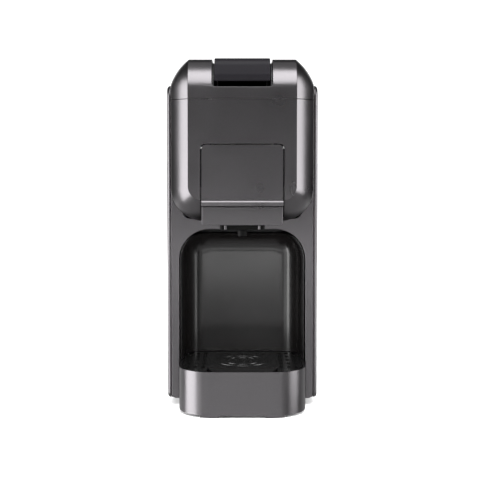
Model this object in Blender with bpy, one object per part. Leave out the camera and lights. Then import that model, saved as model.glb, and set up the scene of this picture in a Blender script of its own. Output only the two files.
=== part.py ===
"""A narrow pod coffee machine as an assembly of separate pieces.

Frame: metres, +Z up, the front faces -Y, and the origin is the centre of the footprint on the table.
Sizes are written in millimetres and multiplied by MM.
"""

import math

import bmesh
import bpy
from mathutils import Matrix, Vector

MM = 0.001
GAP = 0.4 * MM
FAR = 320 * MM

# ---------------------------------------------------------------- driving dimensions
DEPTH = 300 * MM
FRONT = -DEPTH / 2
REAR = DEPTH / 2

PANEL_OUTER = 60.8 * MM
PANEL_THICK = 2.8 * MM
PANEL_TOP = 260.2 * MM
BODY_HALF = 57.6 * MM
BODY_REAR = 92 * MM
WALL = 2.2 * MM
BODY_BOTTOM = 6 * MM
SHELL_FOOT = 9.7 * MM
FOOT_X, FOOT_FRONT, FOOT_REAR = 44 * MM, -86 * MM, 132 * MM
SCREW_X, SCREW_FRONT, SCREW_REAR = 46 * MM, 40 * MM, 112 * MM

BEZEL_FRONT = FRONT + 44 * MM
BEZEL_THICK = 3 * MM
SHELL_FRONT = BEZEL_FRONT + BEZEL_THICK + GAP
ARCH_HALF = 51.3 * MM
ARCH_TOP = 144.3 * MM
ARCH_RADIUS = 25 * MM
ROOF_FOOT = 100 * MM
ROOF_REAR = -58.6 * MM

HEAD_FRONT = FRONT + 12 * MM
HEAD_CREASE = 42.4 * MM
HEAD_SIDE_BEVEL = 14.4 * MM
HEAD_FOOT_BEVEL = 17.2 * MM
HEAD_BEVEL_DEPTH = 19.6 * MM
HEAD_TOP_RADIUS = 20.5 * MM
HEAD_CORNER = 11 * MM
HEAD_FOOT = 168.5 * MM
TOP = 280 * MM
PARTING = 247.6 * MM
BEVEL_START = math.radians(40)
BEVEL_END = math.radians(72)

LID_WALL = 2.4 * MM
CHANNEL_HALF = 23.8 * MM
CHANNEL_REAR = 10 * MM
NOTCH_FOOT = 257 * MM
WELL_FLOOR = 254.6 * MM
SLOT_FRONT = -56 * MM
SLOT_REAR = -26 * MM
CAPSULE_SLOT_HALF = 20.5 * MM
BUTTON_X, BUTTON_Y = 34.5 * MM, -86 * MM
BUTTON_RADIUS = 5.5 * MM
BUTTON_FOOT = TOP - 8 * MM

LEVER_HALF = 21.6 * MM
LEVER_TOP = TOP + 1.2 * MM
LEVER_FOOT = 259.6 * MM
LEVER_PROUD = 2.6 * MM
LEVER_RADIUS = 17 * MM
LEVER_THICK = 5.5 * MM
LEVER_AXIS = Vector((0, -10 * MM, 272 * MM))
LEVER_TURN = math.radians(75)
SHAFT_RADIUS = 3 * MM
CAGE_TRAVEL = 30 * MM
PIN_START = Vector((0, 0, 234 * MM))
PIN_RADIUS = 2.4 * MM
CAM_INNER = 27.6 * MM
CAM_THICK = 2.6 * MM

BREW_HEIGHT = 209 * MM
INJECTOR_FACE = -25 * MM
CAGE_RADIUS = 22.5 * MM
CAPSULE_RADIUS = 19 * MM
CAGE_LENGTH = 35 * MM

FLAP_HALF = 31.8 * MM
FLAP_TOP = 212.2 * MM
FLAP_LIP = 169.4 * MM
FLAP_FOOT = 164.5 * MM
FLAP_THICK = 2.4 * MM
FLAP_CORNER = 5.5 * MM
FLAP_AXIS = Vector((0, HEAD_FRONT + 2.8 * MM, FLAP_TOP - 2.3 * MM))
HINGE_BORE = 1.2 * MM
HINGE_REACH = 35.6 * MM
LUG_OUTER = 37 * MM
DOORWAY_HALF = 32.8 * MM
DOORWAY_TOP = FLAP_TOP + 0.8 * MM
DOORWAY_CORNER = 4.2 * MM
OUTLET_FRONT = HEAD_FRONT + 1.2 * MM
OUTLET_TOP = FLAP_FOOT - 0.6 * MM
OUTLET_FOOT = 149.4 * MM
SPOUT_TIP = 139.6 * MM

TRAY_HALF = 50.4 * MM
TRAY_TOP = 36.2 * MM
TRAY_BOTTOM = 2.2 * MM
PAD_FOOT = 0.3 * MM
TRAY_CORNER = 27 * MM
TRAY_WALL = 2 * MM
GRID_REST = TRAY_TOP - 3.1 * MM
GRID_SLOT_WIDE = 3.2 * MM
GRID_SLOT_LONG = 9 * MM
SLOT_FIRST_X, SLOT_PITCH_X = 31 * MM, 6 * MM
SLOT_FIRST_Y, SLOT_PITCH_Y = 21 * MM, 14.5 * MM
LEDGE_HALF, LEDGE_DEPTH = 27.5 * MM, 17 * MM
DRAWER_FLOOR = 9.9 * MM
NICHE_FRONT = FRONT + 48 * MM
NICHE_BACK = FRONT + 90 * MM
NICHE_CORNER = 18 * MM
NICHE_ROUND = 20 * MM
NICHE_WALL = 1.8 * MM
NICHE_CLEAR = 0.8 * MM
NICHE_WALL_TOP = 138.2 * MM
BIN_REAR = 18 * MM
BIN_FOOT = 14.4 * MM
BIN_TOP = 132 * MM

TANK_FRONT = 95 * MM
TANK_HALF = 56 * MM
TANK_FOOT = 62 * MM
TANK_TOP = TOP - 7.4 * MM
TANK_CORNER = 20 * MM
TANK_WALL = 2.2 * MM
TANK_VALVE_Y = 120 * MM

# The lower left and upper right corners of two openings in the rear, as X and Z.
INLET = ((15 * MM, 22 * MM), (43 * MM, 43 * MM))
SWITCH = ((-40 * MM, 25 * MM), (-18 * MM, 40 * MM))
PUMP_X, PUMP_Y = -22 * MM, 62 * MM
METER_X = 26 * MM


# ---------------------------------------------------------------- materials
# Each finish is a colour, a roughness and a metallic value.
FINISHES = {
    "gunmetal": ((0.085, 0.082, 0.085), 0.36, 0.75),
    "black": ((0.012, 0.012, 0.013), 0.35, 0.0),
    "gloss": ((0.010, 0.010, 0.011), 0.18, 0.0),
    "steel": ((0.55, 0.55, 0.56), 0.3, 1.0),
    "rubber": ((0.02, 0.02, 0.02), 0.8, 0.0),
    "smoke": ((0.08, 0.085, 0.09), 0.12, 0.0),
    "cast": ((0.6, 0.6, 0.6), 0.5, 0.9),
    "natural": ((0.72, 0.72, 0.70), 0.5, 0.0),
    "board": ((0.03, 0.16, 0.07), 0.5, 0.0),
    "silicone": ((0.78, 0.78, 0.76), 0.55, 0.0),
}


def material(name, finish):
    """A sub-part's own material, in one of the finishes."""
    colour, roughness, metallic = FINISHES[finish]
    made = bpy.data.materials.new(name)
    made.use_nodes = True
    shader = made.node_tree.nodes["Principled BSDF"]
    shader.inputs["Base Color"].default_value = (*colour, 1)
    shader.inputs["Roughness"].default_value = roughness
    shader.inputs["Metallic"].default_value = metallic
    return made


# ---------------------------------------------------------------- building blocks
def clear_scene():
    for obj in list(bpy.data.objects):
        bpy.data.objects.remove(obj, do_unlink=True)


def add(name, bm, finish=None, smooth=30):
    """An object from a bmesh, which is freed. Without a finish it is a helper that isn't seen."""
    mesh = bpy.data.meshes.new(name)
    bmesh.ops.recalc_face_normals(bm, faces=bm.faces)
    bm.to_mesh(mesh)
    bm.free()
    obj = bpy.data.objects.new(name, mesh)
    bpy.context.scene.collection.objects.link(obj)
    if finish:
        mesh.materials.append(material(name, finish))
        mesh.shade_smooth()
        mesh.set_sharp_from_angle(angle=math.radians(smooth))
    return obj


def pivot(name, centre, members, parent=None):
    """An empty on a joint's axis that carries the members, which keep their places."""
    empty = bpy.data.objects.new(name, None)
    bpy.context.scene.collection.objects.link(empty)
    empty.location = centre
    if parent is not None:
        empty.parent = parent
        empty.matrix_parent_inverse = Matrix.Translation(-parent.location)
    for member in members:
        obj = bpy.data.objects[member]
        obj.parent = empty
        obj.matrix_parent_inverse = Matrix.Translation(-empty.location)
    return empty


def place(u, v, w, axis):
    """A point from two outline coordinates and a height along the axis."""
    return {"X": (w, u, v), "Y": (u, w, v), "Z": (u, v, w)}[axis]


def mm(*values):
    """Millimetres as metres."""
    return tuple(value * MM for value in values)


def both(half):
    """A span centred on the middle plane."""
    return (-half, half)


def prism(outline, axis, low, high, bm=None):
    """A closed prism, added to bm if there is one. The outline is in the two other axes, in X, Y, Z order."""
    bm = bm or bmesh.new()
    ends = [[bm.verts.new(place(u, v, w, axis)) for u, v in outline] for w in (low, high)]
    bm.faces.new(ends[0])
    bm.faces.new(list(reversed(ends[1])))
    for i in range(len(outline)):
        j = (i + 1) % len(outline)
        bm.faces.new((ends[0][i], ends[1][i], ends[1][j], ends[0][j]))
    return bm


def box(x, y, z):
    return prism([(x[0], y[0]), (x[1], y[0]), (x[1], y[1]), (x[0], y[1])], "Z", z[0], z[1])


def arc(cu, cv, radius, start, end, steps):
    """Points on a circular arc, angles in degrees."""
    turn = [math.radians(start + (end - start) * i / steps) for i in range(steps + 1)]
    return [(cu + radius * math.cos(a), cv + radius * math.sin(a)) for a in turn]


def rounded(u, v, radii, steps=4):
    """A rectangle with a radius for each corner: low-low, high-low, high-high, low-high."""
    (left, right), (low, high) = u, v
    corners = [(left, low, 1, 1), (right, low, -1, 1), (right, high, -1, -1), (left, high, 1, -1)]
    points = []
    for i, (cu, cv, su, sv) in enumerate(corners):
        if radii[i] <= 0:
            points.append((cu, cv))
        else:
            start = 180 + 90 * i
            points += arc(cu + su * radii[i], cv + sv * radii[i], radii[i], start, start + 90, steps)
    return points


def disc(cu, cv, radius, steps=20):
    return arc(cu, cv, radius, 0, 360 * (1 - 1 / steps), steps - 1)


def turned(profile, axis, centre, steps=24):
    """A closed solid from a profile of (radius, height) points, turned about an axis through centre."""
    bm = bmesh.new()
    rows = []
    for i in range(steps):
        a = 2 * math.pi * i / steps
        row = []
        for radius, height in profile:
            u, v = radius * math.cos(a), radius * math.sin(a)
            row.append(bm.verts.new(Vector(place(u, v, height, axis)) + Vector(centre)))
        rows.append(row)
    count = len(profile)
    for i in range(steps):
        for j in range(count):
            k = (j + 1) % count
            bm.faces.new((rows[i][j], rows[i][k], rows[(i + 1) % steps][k], rows[(i + 1) % steps][j]))
    bmesh.ops.remove_doubles(bm, verts=bm.verts, dist=1e-6)
    bmesh.ops.dissolve_degenerate(bm, edges=bm.edges, dist=1e-7)
    return bm


def boolean(obj, bm, operation="DIFFERENCE"):
    """Cuts or joins with a hidden helper object, which moves with the object."""
    helper = add(f"{obj.name}.tool{len(obj.modifiers)}", bm)
    helper.parent = obj
    helper.hide_render = True
    helper.display_type = "WIRE"
    modifier = obj.modifiers.new("tool", "BOOLEAN")
    modifier.operation = operation
    modifier.solver = "EXACT"
    modifier.object = helper
    return obj


def hose(name, points, radius, finish):
    """A bent tube whose centreline is a smooth curve through the points."""
    fine = []
    last = len(points) - 1
    for i in range(last):
        p0, p1 = Vector(points[max(i - 1, 0)]), Vector(points[i])
        p2, p3 = Vector(points[i + 1]), Vector(points[min(i + 2, last)])
        for k in range(5):
            t = k / 5
            fine.append(0.5 * (2 * p1 + (p2 - p0) * t + (2 * p0 - 5 * p1 + 4 * p2 - p3) * t * t
                               + (3 * p1 - p0 - 3 * p2 + p3) * t ** 3))
    fine.append(Vector(points[-1]))
    curve = bpy.data.curves.new(name, "CURVE")
    curve.dimensions = "3D"
    curve.bevel_depth = radius
    curve.bevel_resolution = 2
    curve.use_fill_caps = True
    spline = curve.splines.new("POLY")
    spline.points.add(len(fine) - 1)
    for point, spot in zip(spline.points, fine):
        point.co = (*spot, 1)
    curve.materials.append(material(name, finish))
    obj = bpy.data.objects.new(name, curve)
    bpy.context.scene.collection.objects.link(obj)
    return obj


# ---------------------------------------------------------------- the head's outer form
def bevel_at(share, reach):
    """Outward reach and depth of the creased edge bevel, for a share of its length from 0 to 1."""
    angle = BEVEL_START + (BEVEL_END - BEVEL_START) * share
    out = (math.sin(angle) - math.sin(BEVEL_START)) / (math.sin(BEVEL_END) - math.sin(BEVEL_START))
    back = (math.cos(BEVEL_START) - math.cos(angle)) / (math.cos(BEVEL_START) - math.cos(BEVEL_END))
    return reach * out, HEAD_BEVEL_DEPTH * back


def head_path(foot, corner_steps, round_steps, inset, rear):
    """The crease line on the +X side, from the middle of the foot to the rear of the top edge.

    Each entry is the point, its outward direction, the surface normal and the bevel's reach.
    """
    radius = HEAD_TOP_RADIUS - inset
    front = HEAD_FRONT + inset
    path = [(Vector((0, front, foot)), Vector((0, 0, -1)), Vector((0, -1, 0)), HEAD_FOOT_BEVEL)]
    for i in range(corner_steps + 1):
        a = math.pi / 2 * i / corner_steps
        out = Vector((math.sin(a), 0, -math.cos(a)))
        centre = Vector((HEAD_CREASE - HEAD_CORNER, front, foot + HEAD_CORNER))
        reach = HEAD_FOOT_BEVEL + (HEAD_SIDE_BEVEL - HEAD_FOOT_BEVEL) * i / corner_steps
        path.append((centre + out * HEAD_CORNER, out, Vector((0, -1, 0)), reach))
    centre = Vector((HEAD_CREASE, front + radius, TOP - inset - radius))
    for i in range(round_steps + 1):
        a = math.pi / 2 * i / round_steps
        normal = Vector((0, -math.cos(a), math.sin(a)))
        path.append((centre + normal * radius, Vector((1, 0, 0)), normal, HEAD_SIDE_BEVEL))
    end = Vector((HEAD_CREASE, rear, TOP - inset))
    path.append((end, Vector((1, 0, 0)), Vector((0, 0, 1)), HEAD_SIDE_BEVEL))
    return path


def head_form(inset, rear, bevel_steps=6, corner_steps=5, round_steps=6):
    """The closed outer form of the head and lid, drawn in by inset and open to nothing."""
    path = head_path(HEAD_FOOT, corner_steps, round_steps, inset, rear)
    bm = bmesh.new()
    sides = {}
    for side in (1, -1):
        rows = []
        for point, out, normal, reach in path:
            row = []
            for j in range(bevel_steps + 1):
                e, d = bevel_at(j / bevel_steps, reach)
                spot = point + out * e * (1 - inset / reach) - normal * d * (1 - inset / HEAD_BEVEL_DEPTH)
                row.append(spot)
            if normal.z < 0.01:
                back = row[-1].copy()
                back.y = rear
                row.append(back)
            rows.append([bm.verts.new((side * p.x, p.y, p.z)) for p in row])
        sides[side] = rows
        for a, b in zip(rows, rows[1:]):
            for j in range(bevel_steps):
                bm.faces.new((a[j], a[j + 1], b[j + 1], b[j]))
            if len(a) == len(b) == bevel_steps + 2:
                bm.faces.new((a[-2], a[-1], b[-1], b[-2]))
        upright = [r for r in rows if len(r) == bevel_steps + 2]
        rounding = rows[len(upright):]
        bm.faces.new([upright[-1][-2]] + [r[-1] for r in rounding] + [upright[-1][-1]])
    right, left = sides[1], sides[-1]
    flat = [r[0] for r in right if len(r) == bevel_steps + 2]
    other = [r[0] for r in left if len(r) == bevel_steps + 2]
    bm.faces.new(flat + list(reversed(other[1:])))
    for i in range(len(flat) - 1, len(right) - 1):
        bm.faces.new((right[i][0], right[i + 1][0], left[i + 1][0], left[i][0]))
    loop = [r[-1] for r in right if len(r) == bevel_steps + 2]
    loop += list(reversed(right[-1]))
    loop += left[-1]
    loop += list(reversed([r[-1] for r in left if len(r) == bevel_steps + 2]))[:-1]
    bm.faces.new(loop)
    bmesh.ops.remove_doubles(bm, verts=bm.verts, dist=1e-6)
    return bm


# ---------------------------------------------------------------- casing
def arch_outline(half, top, radius, foot, steps=7):
    return rounded((-half, half), (foot, top), (0, 0, radius, radius), steps)


def make_casing():
    corners = (5 * MM, 9 * MM, 9 * MM, 9 * MM)
    outline = rounded((BEZEL_FRONT, BODY_REAR), (BODY_BOTTOM, PANEL_TOP), corners)
    for side, name in ((-1, "left_side_panel"), (1, "right_side_panel")):
        inner = side * (PANEL_OUTER - PANEL_THICK)
        add(name, prism(outline, "X", inner, side * PANEL_OUTER), "gunmetal")

    inside = BODY_HALF - WALL
    outside = box(both(BODY_HALF), (SHELL_FRONT, BODY_REAR), (SHELL_FOOT, PARTING - GAP))
    shell = add("body_shell", outside, "gunmetal")
    boolean(shell, box(both(inside), (SHELL_FRONT - WALL, BODY_REAR - WALL), (0, TOP)))

    foot_corner = 4 * MM
    outline = rounded(both(BODY_HALF), (BODY_BOTTOM, PARTING - GAP), (foot_corner, foot_corner, 0, 0))
    bezel = add("front_bezel", prism(outline, "Y", BEZEL_FRONT, BEZEL_FRONT + BEZEL_THICK), "gunmetal")
    boolean(bezel, prism(arch_outline(ARCH_HALF, ARCH_TOP, ARCH_RADIUS, 0), "Y", FRONT, 0))
    brew_window = rounded(both(48 * MM), mm(153, 240), mm(6, 6, 6, 6), 2)
    boolean(bezel, prism(brew_window, "Y", FRONT, 0))

    thick = 2 * MM
    outline = arch_outline(ARCH_HALF + thick, ARCH_TOP + thick, ARCH_RADIUS + thick, ROOF_FOOT)
    roof = add("niche_roof", prism(outline, "Y", SHELL_FRONT, ROOF_REAR), "black")
    boolean(roof, prism(arch_outline(ARCH_HALF, ARCH_TOP, ARCH_RADIUS, 0), "Y", FRONT, 0))
    curtain_height = (NICHE_WALL_TOP + GAP, ARCH_TOP + 1 * MM)
    curtain = box(both(ARCH_HALF - 18 * MM), (ROOF_REAR - 2.4 * MM, ROOF_REAR), curtain_height)
    boolean(roof, curtain, "UNION")

    corners = (0, 0, 18 * MM, 18 * MM)
    outline = rounded(both(BODY_HALF), (SHELL_FRONT, REAR - 2 * MM), corners)
    base = add("base_pan", prism(outline, "Z", BODY_BOTTOM + 0.3 * MM, SHELL_FOOT - GAP), "black")
    for x, y in screw_places():
        boolean(base, prism(disc(x, y, 2 * MM, 12), "Z", 0, SHELL_FOOT))

    foot = [(0, 0), mm(6.5, 0), mm(7, 1), mm(8, 5.9), mm(0, 5.9)]
    for end, y in (("front", FOOT_FRONT), ("rear", FOOT_REAR)):
        for side, x in (("left", -FOOT_X), ("right", FOOT_X)):
            add(f"foot_{end}_{side}", turned(foot, "Z", (x, y, 0), 20), "rubber")


def screw_places():
    return [(side * SCREW_X, y) for y in (SCREW_FRONT, SCREW_REAR) for side in (-1, 1)]


def make_screws():
    profile = [mm(0, 4), mm(3.2, 4.2), mm(3.2, 5.9), mm(1.5, 5.9), mm(1.5, 13), mm(0, 13.5)]
    for i, (x, y) in enumerate(screw_places()):
        add(f"base_screw_{i + 1}", turned(profile, "Z", (x, y, 0), 12), "steel")


# ---------------------------------------------------------------- head and lid
def make_head():
    rear = BEZEL_FRONT - GAP
    head = add("head_shell", head_form(0, rear), "gunmetal")
    boolean(head, head_form(LID_WALL, rear + FAR))
    boolean(head, box(both(FAR), both(FAR), (PARTING - GAP / 2, FAR)))
    corners = (0, 0, DOORWAY_CORNER, DOORWAY_CORNER)
    boolean(head, prism(rounded(both(DOORWAY_HALF), (0, DOORWAY_TOP), corners), "Y", -FAR, 0))
    for side in (-1, 1):
        x = sorted((side * (DOORWAY_HALF + 0.2 * MM), side * LUG_OUTER))
        y = (HEAD_FRONT + 1 * MM, HEAD_FRONT + 8 * MM)
        boolean(head, box(x, y, (FLAP_AXIS.z - 4 * MM, FLAP_AXIS.z + 6 * MM)), "UNION")
    boolean(head, prism(disc(FLAP_AXIS.y, FLAP_AXIS.z, HINGE_BORE, 12), "X", -HINGE_REACH, HINGE_REACH))


def make_lid():
    lid = add("top_lid", head_form(0, BODY_REAR), "gunmetal")
    boolean(lid, head_form(LID_WALL, BODY_REAR - LID_WALL))
    boolean(lid, box(both(FAR), both(FAR), (0, PARTING + GAP / 2)))
    boolean(lid, box(both(CHANNEL_HALF), (-FAR, CHANNEL_REAR), (NOTCH_FOOT, FAR)))
    for _, x in button_places():
        boolean(lid, prism(disc(x, BUTTON_Y, BUTTON_RADIUS + 0.6 * MM), "Z", NOTCH_FOOT, FAR))


def make_lever_well():
    """The channel under the lever: open on top and in front, with the capsule slot in its floor."""
    half, wall = CHANNEL_HALF - GAP, 1 * MM
    front, rear = HEAD_FRONT + 3 * MM, CHANNEL_REAR - GAP
    floor = WELL_FLOOR + 1.8 * MM
    well = add("lever_well", box(both(half), (front, rear), (WELL_FLOOR, TOP - 3 * MM)), "black")
    boolean(well, box(both(half - wall), (-FAR, rear - 1.2 * MM), (floor, FAR)))
    middle = HEAD_FRONT + 24 * MM
    rounding = arc(middle, TOP - 24 * MM, 21 * MM, 180, 90, 5)
    outline = [(-FAR, FAR), (-FAR, floor), (front, floor)] + rounding + [(middle, FAR)]
    boolean(well, prism(outline, "X", -FAR, FAR))
    boolean(well, box(both(CAPSULE_SLOT_HALF), (SLOT_FRONT, SLOT_REAR), (0, floor + 1 * MM)))
    boolean(well, shaft_bore())


def shaft_bore():
    return prism(disc(LEVER_AXIS.y, LEVER_AXIS.z, SHAFT_RADIUS + 0.3 * MM, 16), "X", -FAR, FAR)


def button_places():
    return [("espresso_button", -BUTTON_X), ("lungo_button", BUTTON_X)]


def make_buttons():
    neck = BUTTON_RADIUS * 0.6
    shoulder = TOP - 4.4 * MM
    profile = [(0, BUTTON_FOOT), (neck, BUTTON_FOOT), (neck, shoulder), (BUTTON_RADIUS, shoulder)]
    crown = TOP + 1 * MM
    profile += [(BUTTON_RADIUS, crown - 0.6 * MM), (BUTTON_RADIUS - 0.6 * MM, crown), (0, crown - 0.2 * MM)]
    for name, x in button_places():
        add(name, turned(profile, "Z", (x, BUTTON_Y, 0)), "black")


# ---------------------------------------------------------------- lever and its cams
def cam_point(turn):
    """Where the cage's pin lies in the lever's own frame when the lever has turned that far."""
    start = PIN_START - LEVER_AXIS
    y = start.y - CAGE_TRAVEL * turn / LEVER_TURN
    return (y * math.cos(turn) - start.z * math.sin(turn), y * math.sin(turn) + start.z * math.cos(turn))


def capsule_outline(points, radius, steps=6):
    """An outline at a fixed distance round an open line, with round ends."""
    outline = []
    for line in (points, points[::-1]):
        for before, here, after in zip(line, line[1:], line[2:]):
            heading = math.atan2(after[1] - before[1], after[0] - before[0])
            outline.append((here[0] + radius * math.sin(heading), here[1] - radius * math.cos(heading)))
        end, near = line[-1], line[-2]
        heading = math.degrees(math.atan2(end[1] - near[1], end[0] - near[0]))
        outline += arc(*end, radius, heading - 90, heading + 90, steps)
    return outline


def turns_left(a, b, c):
    return (b[0] - a[0]) * (c[1] - a[1]) - (b[1] - a[1]) * (c[0] - a[0]) > 1e-12


def hull_outline(points):
    """The convex outline round a set of points (monotone chain)."""
    points = sorted(set(points))
    outline = []
    for ordered in (points, points[::-1]):
        chain = []
        for p in ordered:
            while len(chain) > 1 and not turns_left(chain[-2], chain[-1], p):
                chain.pop()
            chain.append(p)
        outline += chain[:-1]
    return outline


def make_lever():
    front = HEAD_FRONT - LEVER_PROUD
    middle, rise = front + LEVER_RADIUS, LEVER_TOP - LEVER_RADIUS
    outer = [(front, LEVER_FOOT)] + arc(middle, rise, LEVER_RADIUS, 180, 90, 6)
    outer += [(LEVER_AXIS.y, LEVER_TOP)]
    outer += arc(LEVER_AXIS.y, LEVER_AXIS.z, LEVER_TOP - LEVER_AXIS.z, 80, -90, 7)
    inner = [(LEVER_AXIS.y - 16 * MM, LEVER_TOP - LEVER_THICK)]
    inner += arc(middle, rise, LEVER_RADIUS - LEVER_THICK, 90, 180, 4)
    inner += [(front + LEVER_THICK, LEVER_FOOT)]
    handle = add("lever_handle", prism(outer + inner, "X", -LEVER_HALF, LEVER_HALF), "black")
    boolean(handle, shaft_bore())
    end = 36.4 * MM
    rod = [(0, -end), (SHAFT_RADIUS, -end), (SHAFT_RADIUS, end), (0, end)]
    add("lever_shaft", turned(rod, "X", LEVER_AXIS, 16), "steel")


def make_cams():
    """Two plates on the lever's shaft, each with a slot shaped so that the pin moves in a straight line."""
    track = [cam_point(LEVER_TURN * i / 8) for i in range(9)]
    rim = disc(0, 0, 5.4 * MM)
    for u, v in track:
        rim += disc(u, v, 6.4 * MM, 16)
    outline = [(u + LEVER_AXIS.y, v + LEVER_AXIS.z) for u, v in hull_outline(rim)]
    slot = [(u + LEVER_AXIS.y, v + LEVER_AXIS.z) for u, v in capsule_outline(track, PIN_RADIUS + 0.6 * MM)]
    for side, name in ((-1, "left_cam_plate"), (1, "right_cam_plate")):
        x = sorted((side * CAM_INNER, side * (CAM_INNER + CAM_THICK)))
        cam = add(name, prism(outline, "X", *x), "steel")
        boolean(cam, prism(slot, "X", -FAR, FAR))
        boolean(cam, shaft_bore())


# ---------------------------------------------------------------- brew group
def make_cage():
    """The cup that carries the capsule, with an arm and a pin on each side."""
    face = INJECTOR_FACE - 2.5 * MM
    cup_floor = face - 29 * MM
    profile = [(0, face - CAGE_LENGTH), (CAGE_RADIUS, face - CAGE_LENGTH), (CAGE_RADIUS, face)]
    profile += [(CAPSULE_RADIUS, face), (CAPSULE_RADIUS - 4 * MM, cup_floor), (0, cup_floor)]
    cage = add("capsule_cage", turned(profile, "Y", (0, 0, BREW_HEIGHT), 28), "natural")
    arm = [mm(-56, 203), mm(-33, 203), mm(-33, 222), mm(-12, 229)]
    arm += [mm(7, 229), mm(7, 240), mm(-14, 240), mm(-56, 224)]
    for side in (-1, 1):
        boolean(cage, prism(arm, "X", *sorted(mm(side * 21.6, side * 26.6))), "UNION")
    boolean(cage, box(mm(-5, 5), mm(-71, -58), mm(184, 203)), "UNION")
    outflow = [mm(-69, 180), mm(-65, 180), mm(-65, 196), mm(-50, 196), mm(-50, 200), mm(-69, 200)]
    boolean(cage, prism(outflow, "X", -2 * MM, 2 * MM))
    for side, name in ((-1, "left_cage_pin"), (1, "right_cage_pin")):
        low, high = sorted(mm(side * 26.9, side * 31))
        pin = [(0, low), (PIN_RADIUS, low), (PIN_RADIUS, high), (0, high)]
        add(name, turned(pin, "X", PIN_START, 16), "steel")


def make_injector():
    centre = (0, 0, BREW_HEIGHT)
    back = INJECTOR_FACE + 6 * MM
    needle = [(0, INJECTOR_FACE - 6 * MM), (1.2 * MM, INJECTOR_FACE - 5 * MM), (2.2 * MM, INJECTOR_FACE)]
    plate = needle + [(CAGE_RADIUS, INJECTOR_FACE), (CAGE_RADIUS, back), (0, back)]
    add("injector_plate", turned(plate, "Y", centre), "steel")
    inner, outer = mm(15.6, 18.6)
    front, rear = INJECTOR_FACE - 2.1 * MM, INJECTOR_FACE - GAP
    seal = [(inner, front), (outer, front), (outer, rear), (inner, rear)]
    add("injector_seal", turned(seal, "Y", centre), "silicone")

    front = back + GAP
    outline = rounded(mm(-21, 21), mm(188, 226), mm(6, 6, 6, 6), 3)
    boiler = add("thermoblock", prism(outline, "Y", front, front + 46 * MM), "cast")
    for i in range(4):
        y = front + (7 + 10 * i) * MM
        boolean(boiler, box(mm(-30, 30), (y, y + 4 * MM), mm(221, 240)))


def make_cradle():
    """The frame of the brew group: a trough with a cross wall that holds the lever's shaft."""
    cradle = add("brew_cradle", box(mm(-35, 35), mm(-92, 34), mm(178, 238)), "black")
    shaft_wall = box(mm(-50, 50), mm(-16, -4), (230 * MM, TOP - LID_WALL - 0.6 * MM))
    boolean(cradle, shaft_wall, "UNION")
    for side in (-1, 1):
        boolean(cradle, box(sorted(mm(side * 35, side * 60)), mm(-30, 10), mm(200, 300)))
    boolean(cradle, box(mm(-32.6, 32.6), mm(-100, 40), mm(180.6, 290)))
    boolean(cradle, shaft_bore())
    cross_rail = box((-BODY_HALF + WALL + 0.2 * MM, BODY_HALF - WALL - 0.2 * MM), mm(-20, 24), mm(178, 180.6))
    boolean(cradle, cross_rail, "UNION")
    boolean(cradle, box(mm(-15, 15), mm(-12, 20), mm(180, 187.6)), "UNION")
    boolean(cradle, box(mm(-12, 12), mm(-24, -19), mm(180, 186.1)), "UNION")
    boolean(cradle, box(mm(-24, 24), (SLOT_FRONT, SLOT_REAR), mm(170, 190)))
    boolean(cradle, box(mm(-6, 6), mm(-73, -63), mm(170, 190)))


def make_chutes():
    """The guides that a capsule falls through, from the well's slot and down to the bin."""
    wall = 1.8 * MM
    y = (SLOT_FRONT, SLOT_REAR)
    around = (SLOT_FRONT - wall, SLOT_REAR + wall)
    chute = box(both(CAPSULE_SLOT_HALF + 1.9 * MM), around, (242.4 * MM, WELL_FLOOR - GAP))
    boolean(add("capsule_chute", chute, "black"), box(both(CAPSULE_SLOT_HALF), y, (0, FAR)))
    half = 24 * MM
    around = (SLOT_FRONT - 1.6 * MM, SLOT_REAR + 1.6 * MM)
    guide = box(both(half + 2 * MM), around, mm(136, 177.6))
    boolean(add("drop_guide", guide, "black"), box(both(half), y, (0, FAR)))


# ---------------------------------------------------------------- outlet and flap
def make_outlet():
    front, rear = OUTLET_FRONT, BEZEL_FRONT - GAP
    half, wall = FLAP_HALF - 0.2 * MM, 2 * MM
    outlet = add("outlet_housing", box(both(half), (front, rear), (OUTLET_FOOT, OUTLET_TOP)), "gunmetal")
    boolean(outlet, box(both(half - wall), (front + wall, FAR), (OUTLET_FOOT + wall, FAR)))
    boolean(outlet, box(mm(-16, 16), (front + 7 * MM, rear - 4 * MM), (0, OUTLET_FOOT + 2 * wall)))


def make_spout():
    front, rear = OUTLET_FRONT + 7.6 * MM, BEZEL_FRONT - GAP - 4.6 * MM
    half, wall = 15.5 * MM, 2 * MM
    foot = OUTLET_FOOT - 4 * MM
    spout = add("coffee_spout", box(both(half), (front, rear), (foot, OUTLET_TOP - 0.6 * MM)), "black")
    boolean(spout, box(both(half - wall), (front + 1.6 * MM, rear - 1.6 * MM), (OUTLET_FOOT, FAR)))
    middle = (front + rear) / 2
    top = OUTLET_FOOT - 1 * MM
    nozzle = [(0, SPOUT_TIP), (3.4 * MM, SPOUT_TIP), (5.4 * MM, top), (0, top)]
    boolean(spout, turned(nozzle, "Z", (0, middle, 0), 16), "UNION")
    boolean(spout, prism(disc(0, middle, 1.8 * MM, 12), "Z", 0, OUTLET_FOOT + wall))


def make_duct():
    """The sloping channel that leads the coffee from the cage forward to the spout."""
    floor = [mm(-128, 164.8), mm(-61, 164.8), mm(-61, 177.6), mm(-104, 177.6), mm(-128, 168.6)]
    duct = add("coffee_duct", prism(floor, "X", -9 * MM, 9 * MM), "black")
    outfall = [mm(-126, 150), mm(-119, 150), mm(-117, 166.8)]
    channel = outfall + [mm(-63, 168.6), mm(-63, 190), mm(-102, 190), mm(-102, 175), mm(-126, 167.2)]
    boolean(duct, prism(channel, "X", -7 * MM, 7 * MM))


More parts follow.
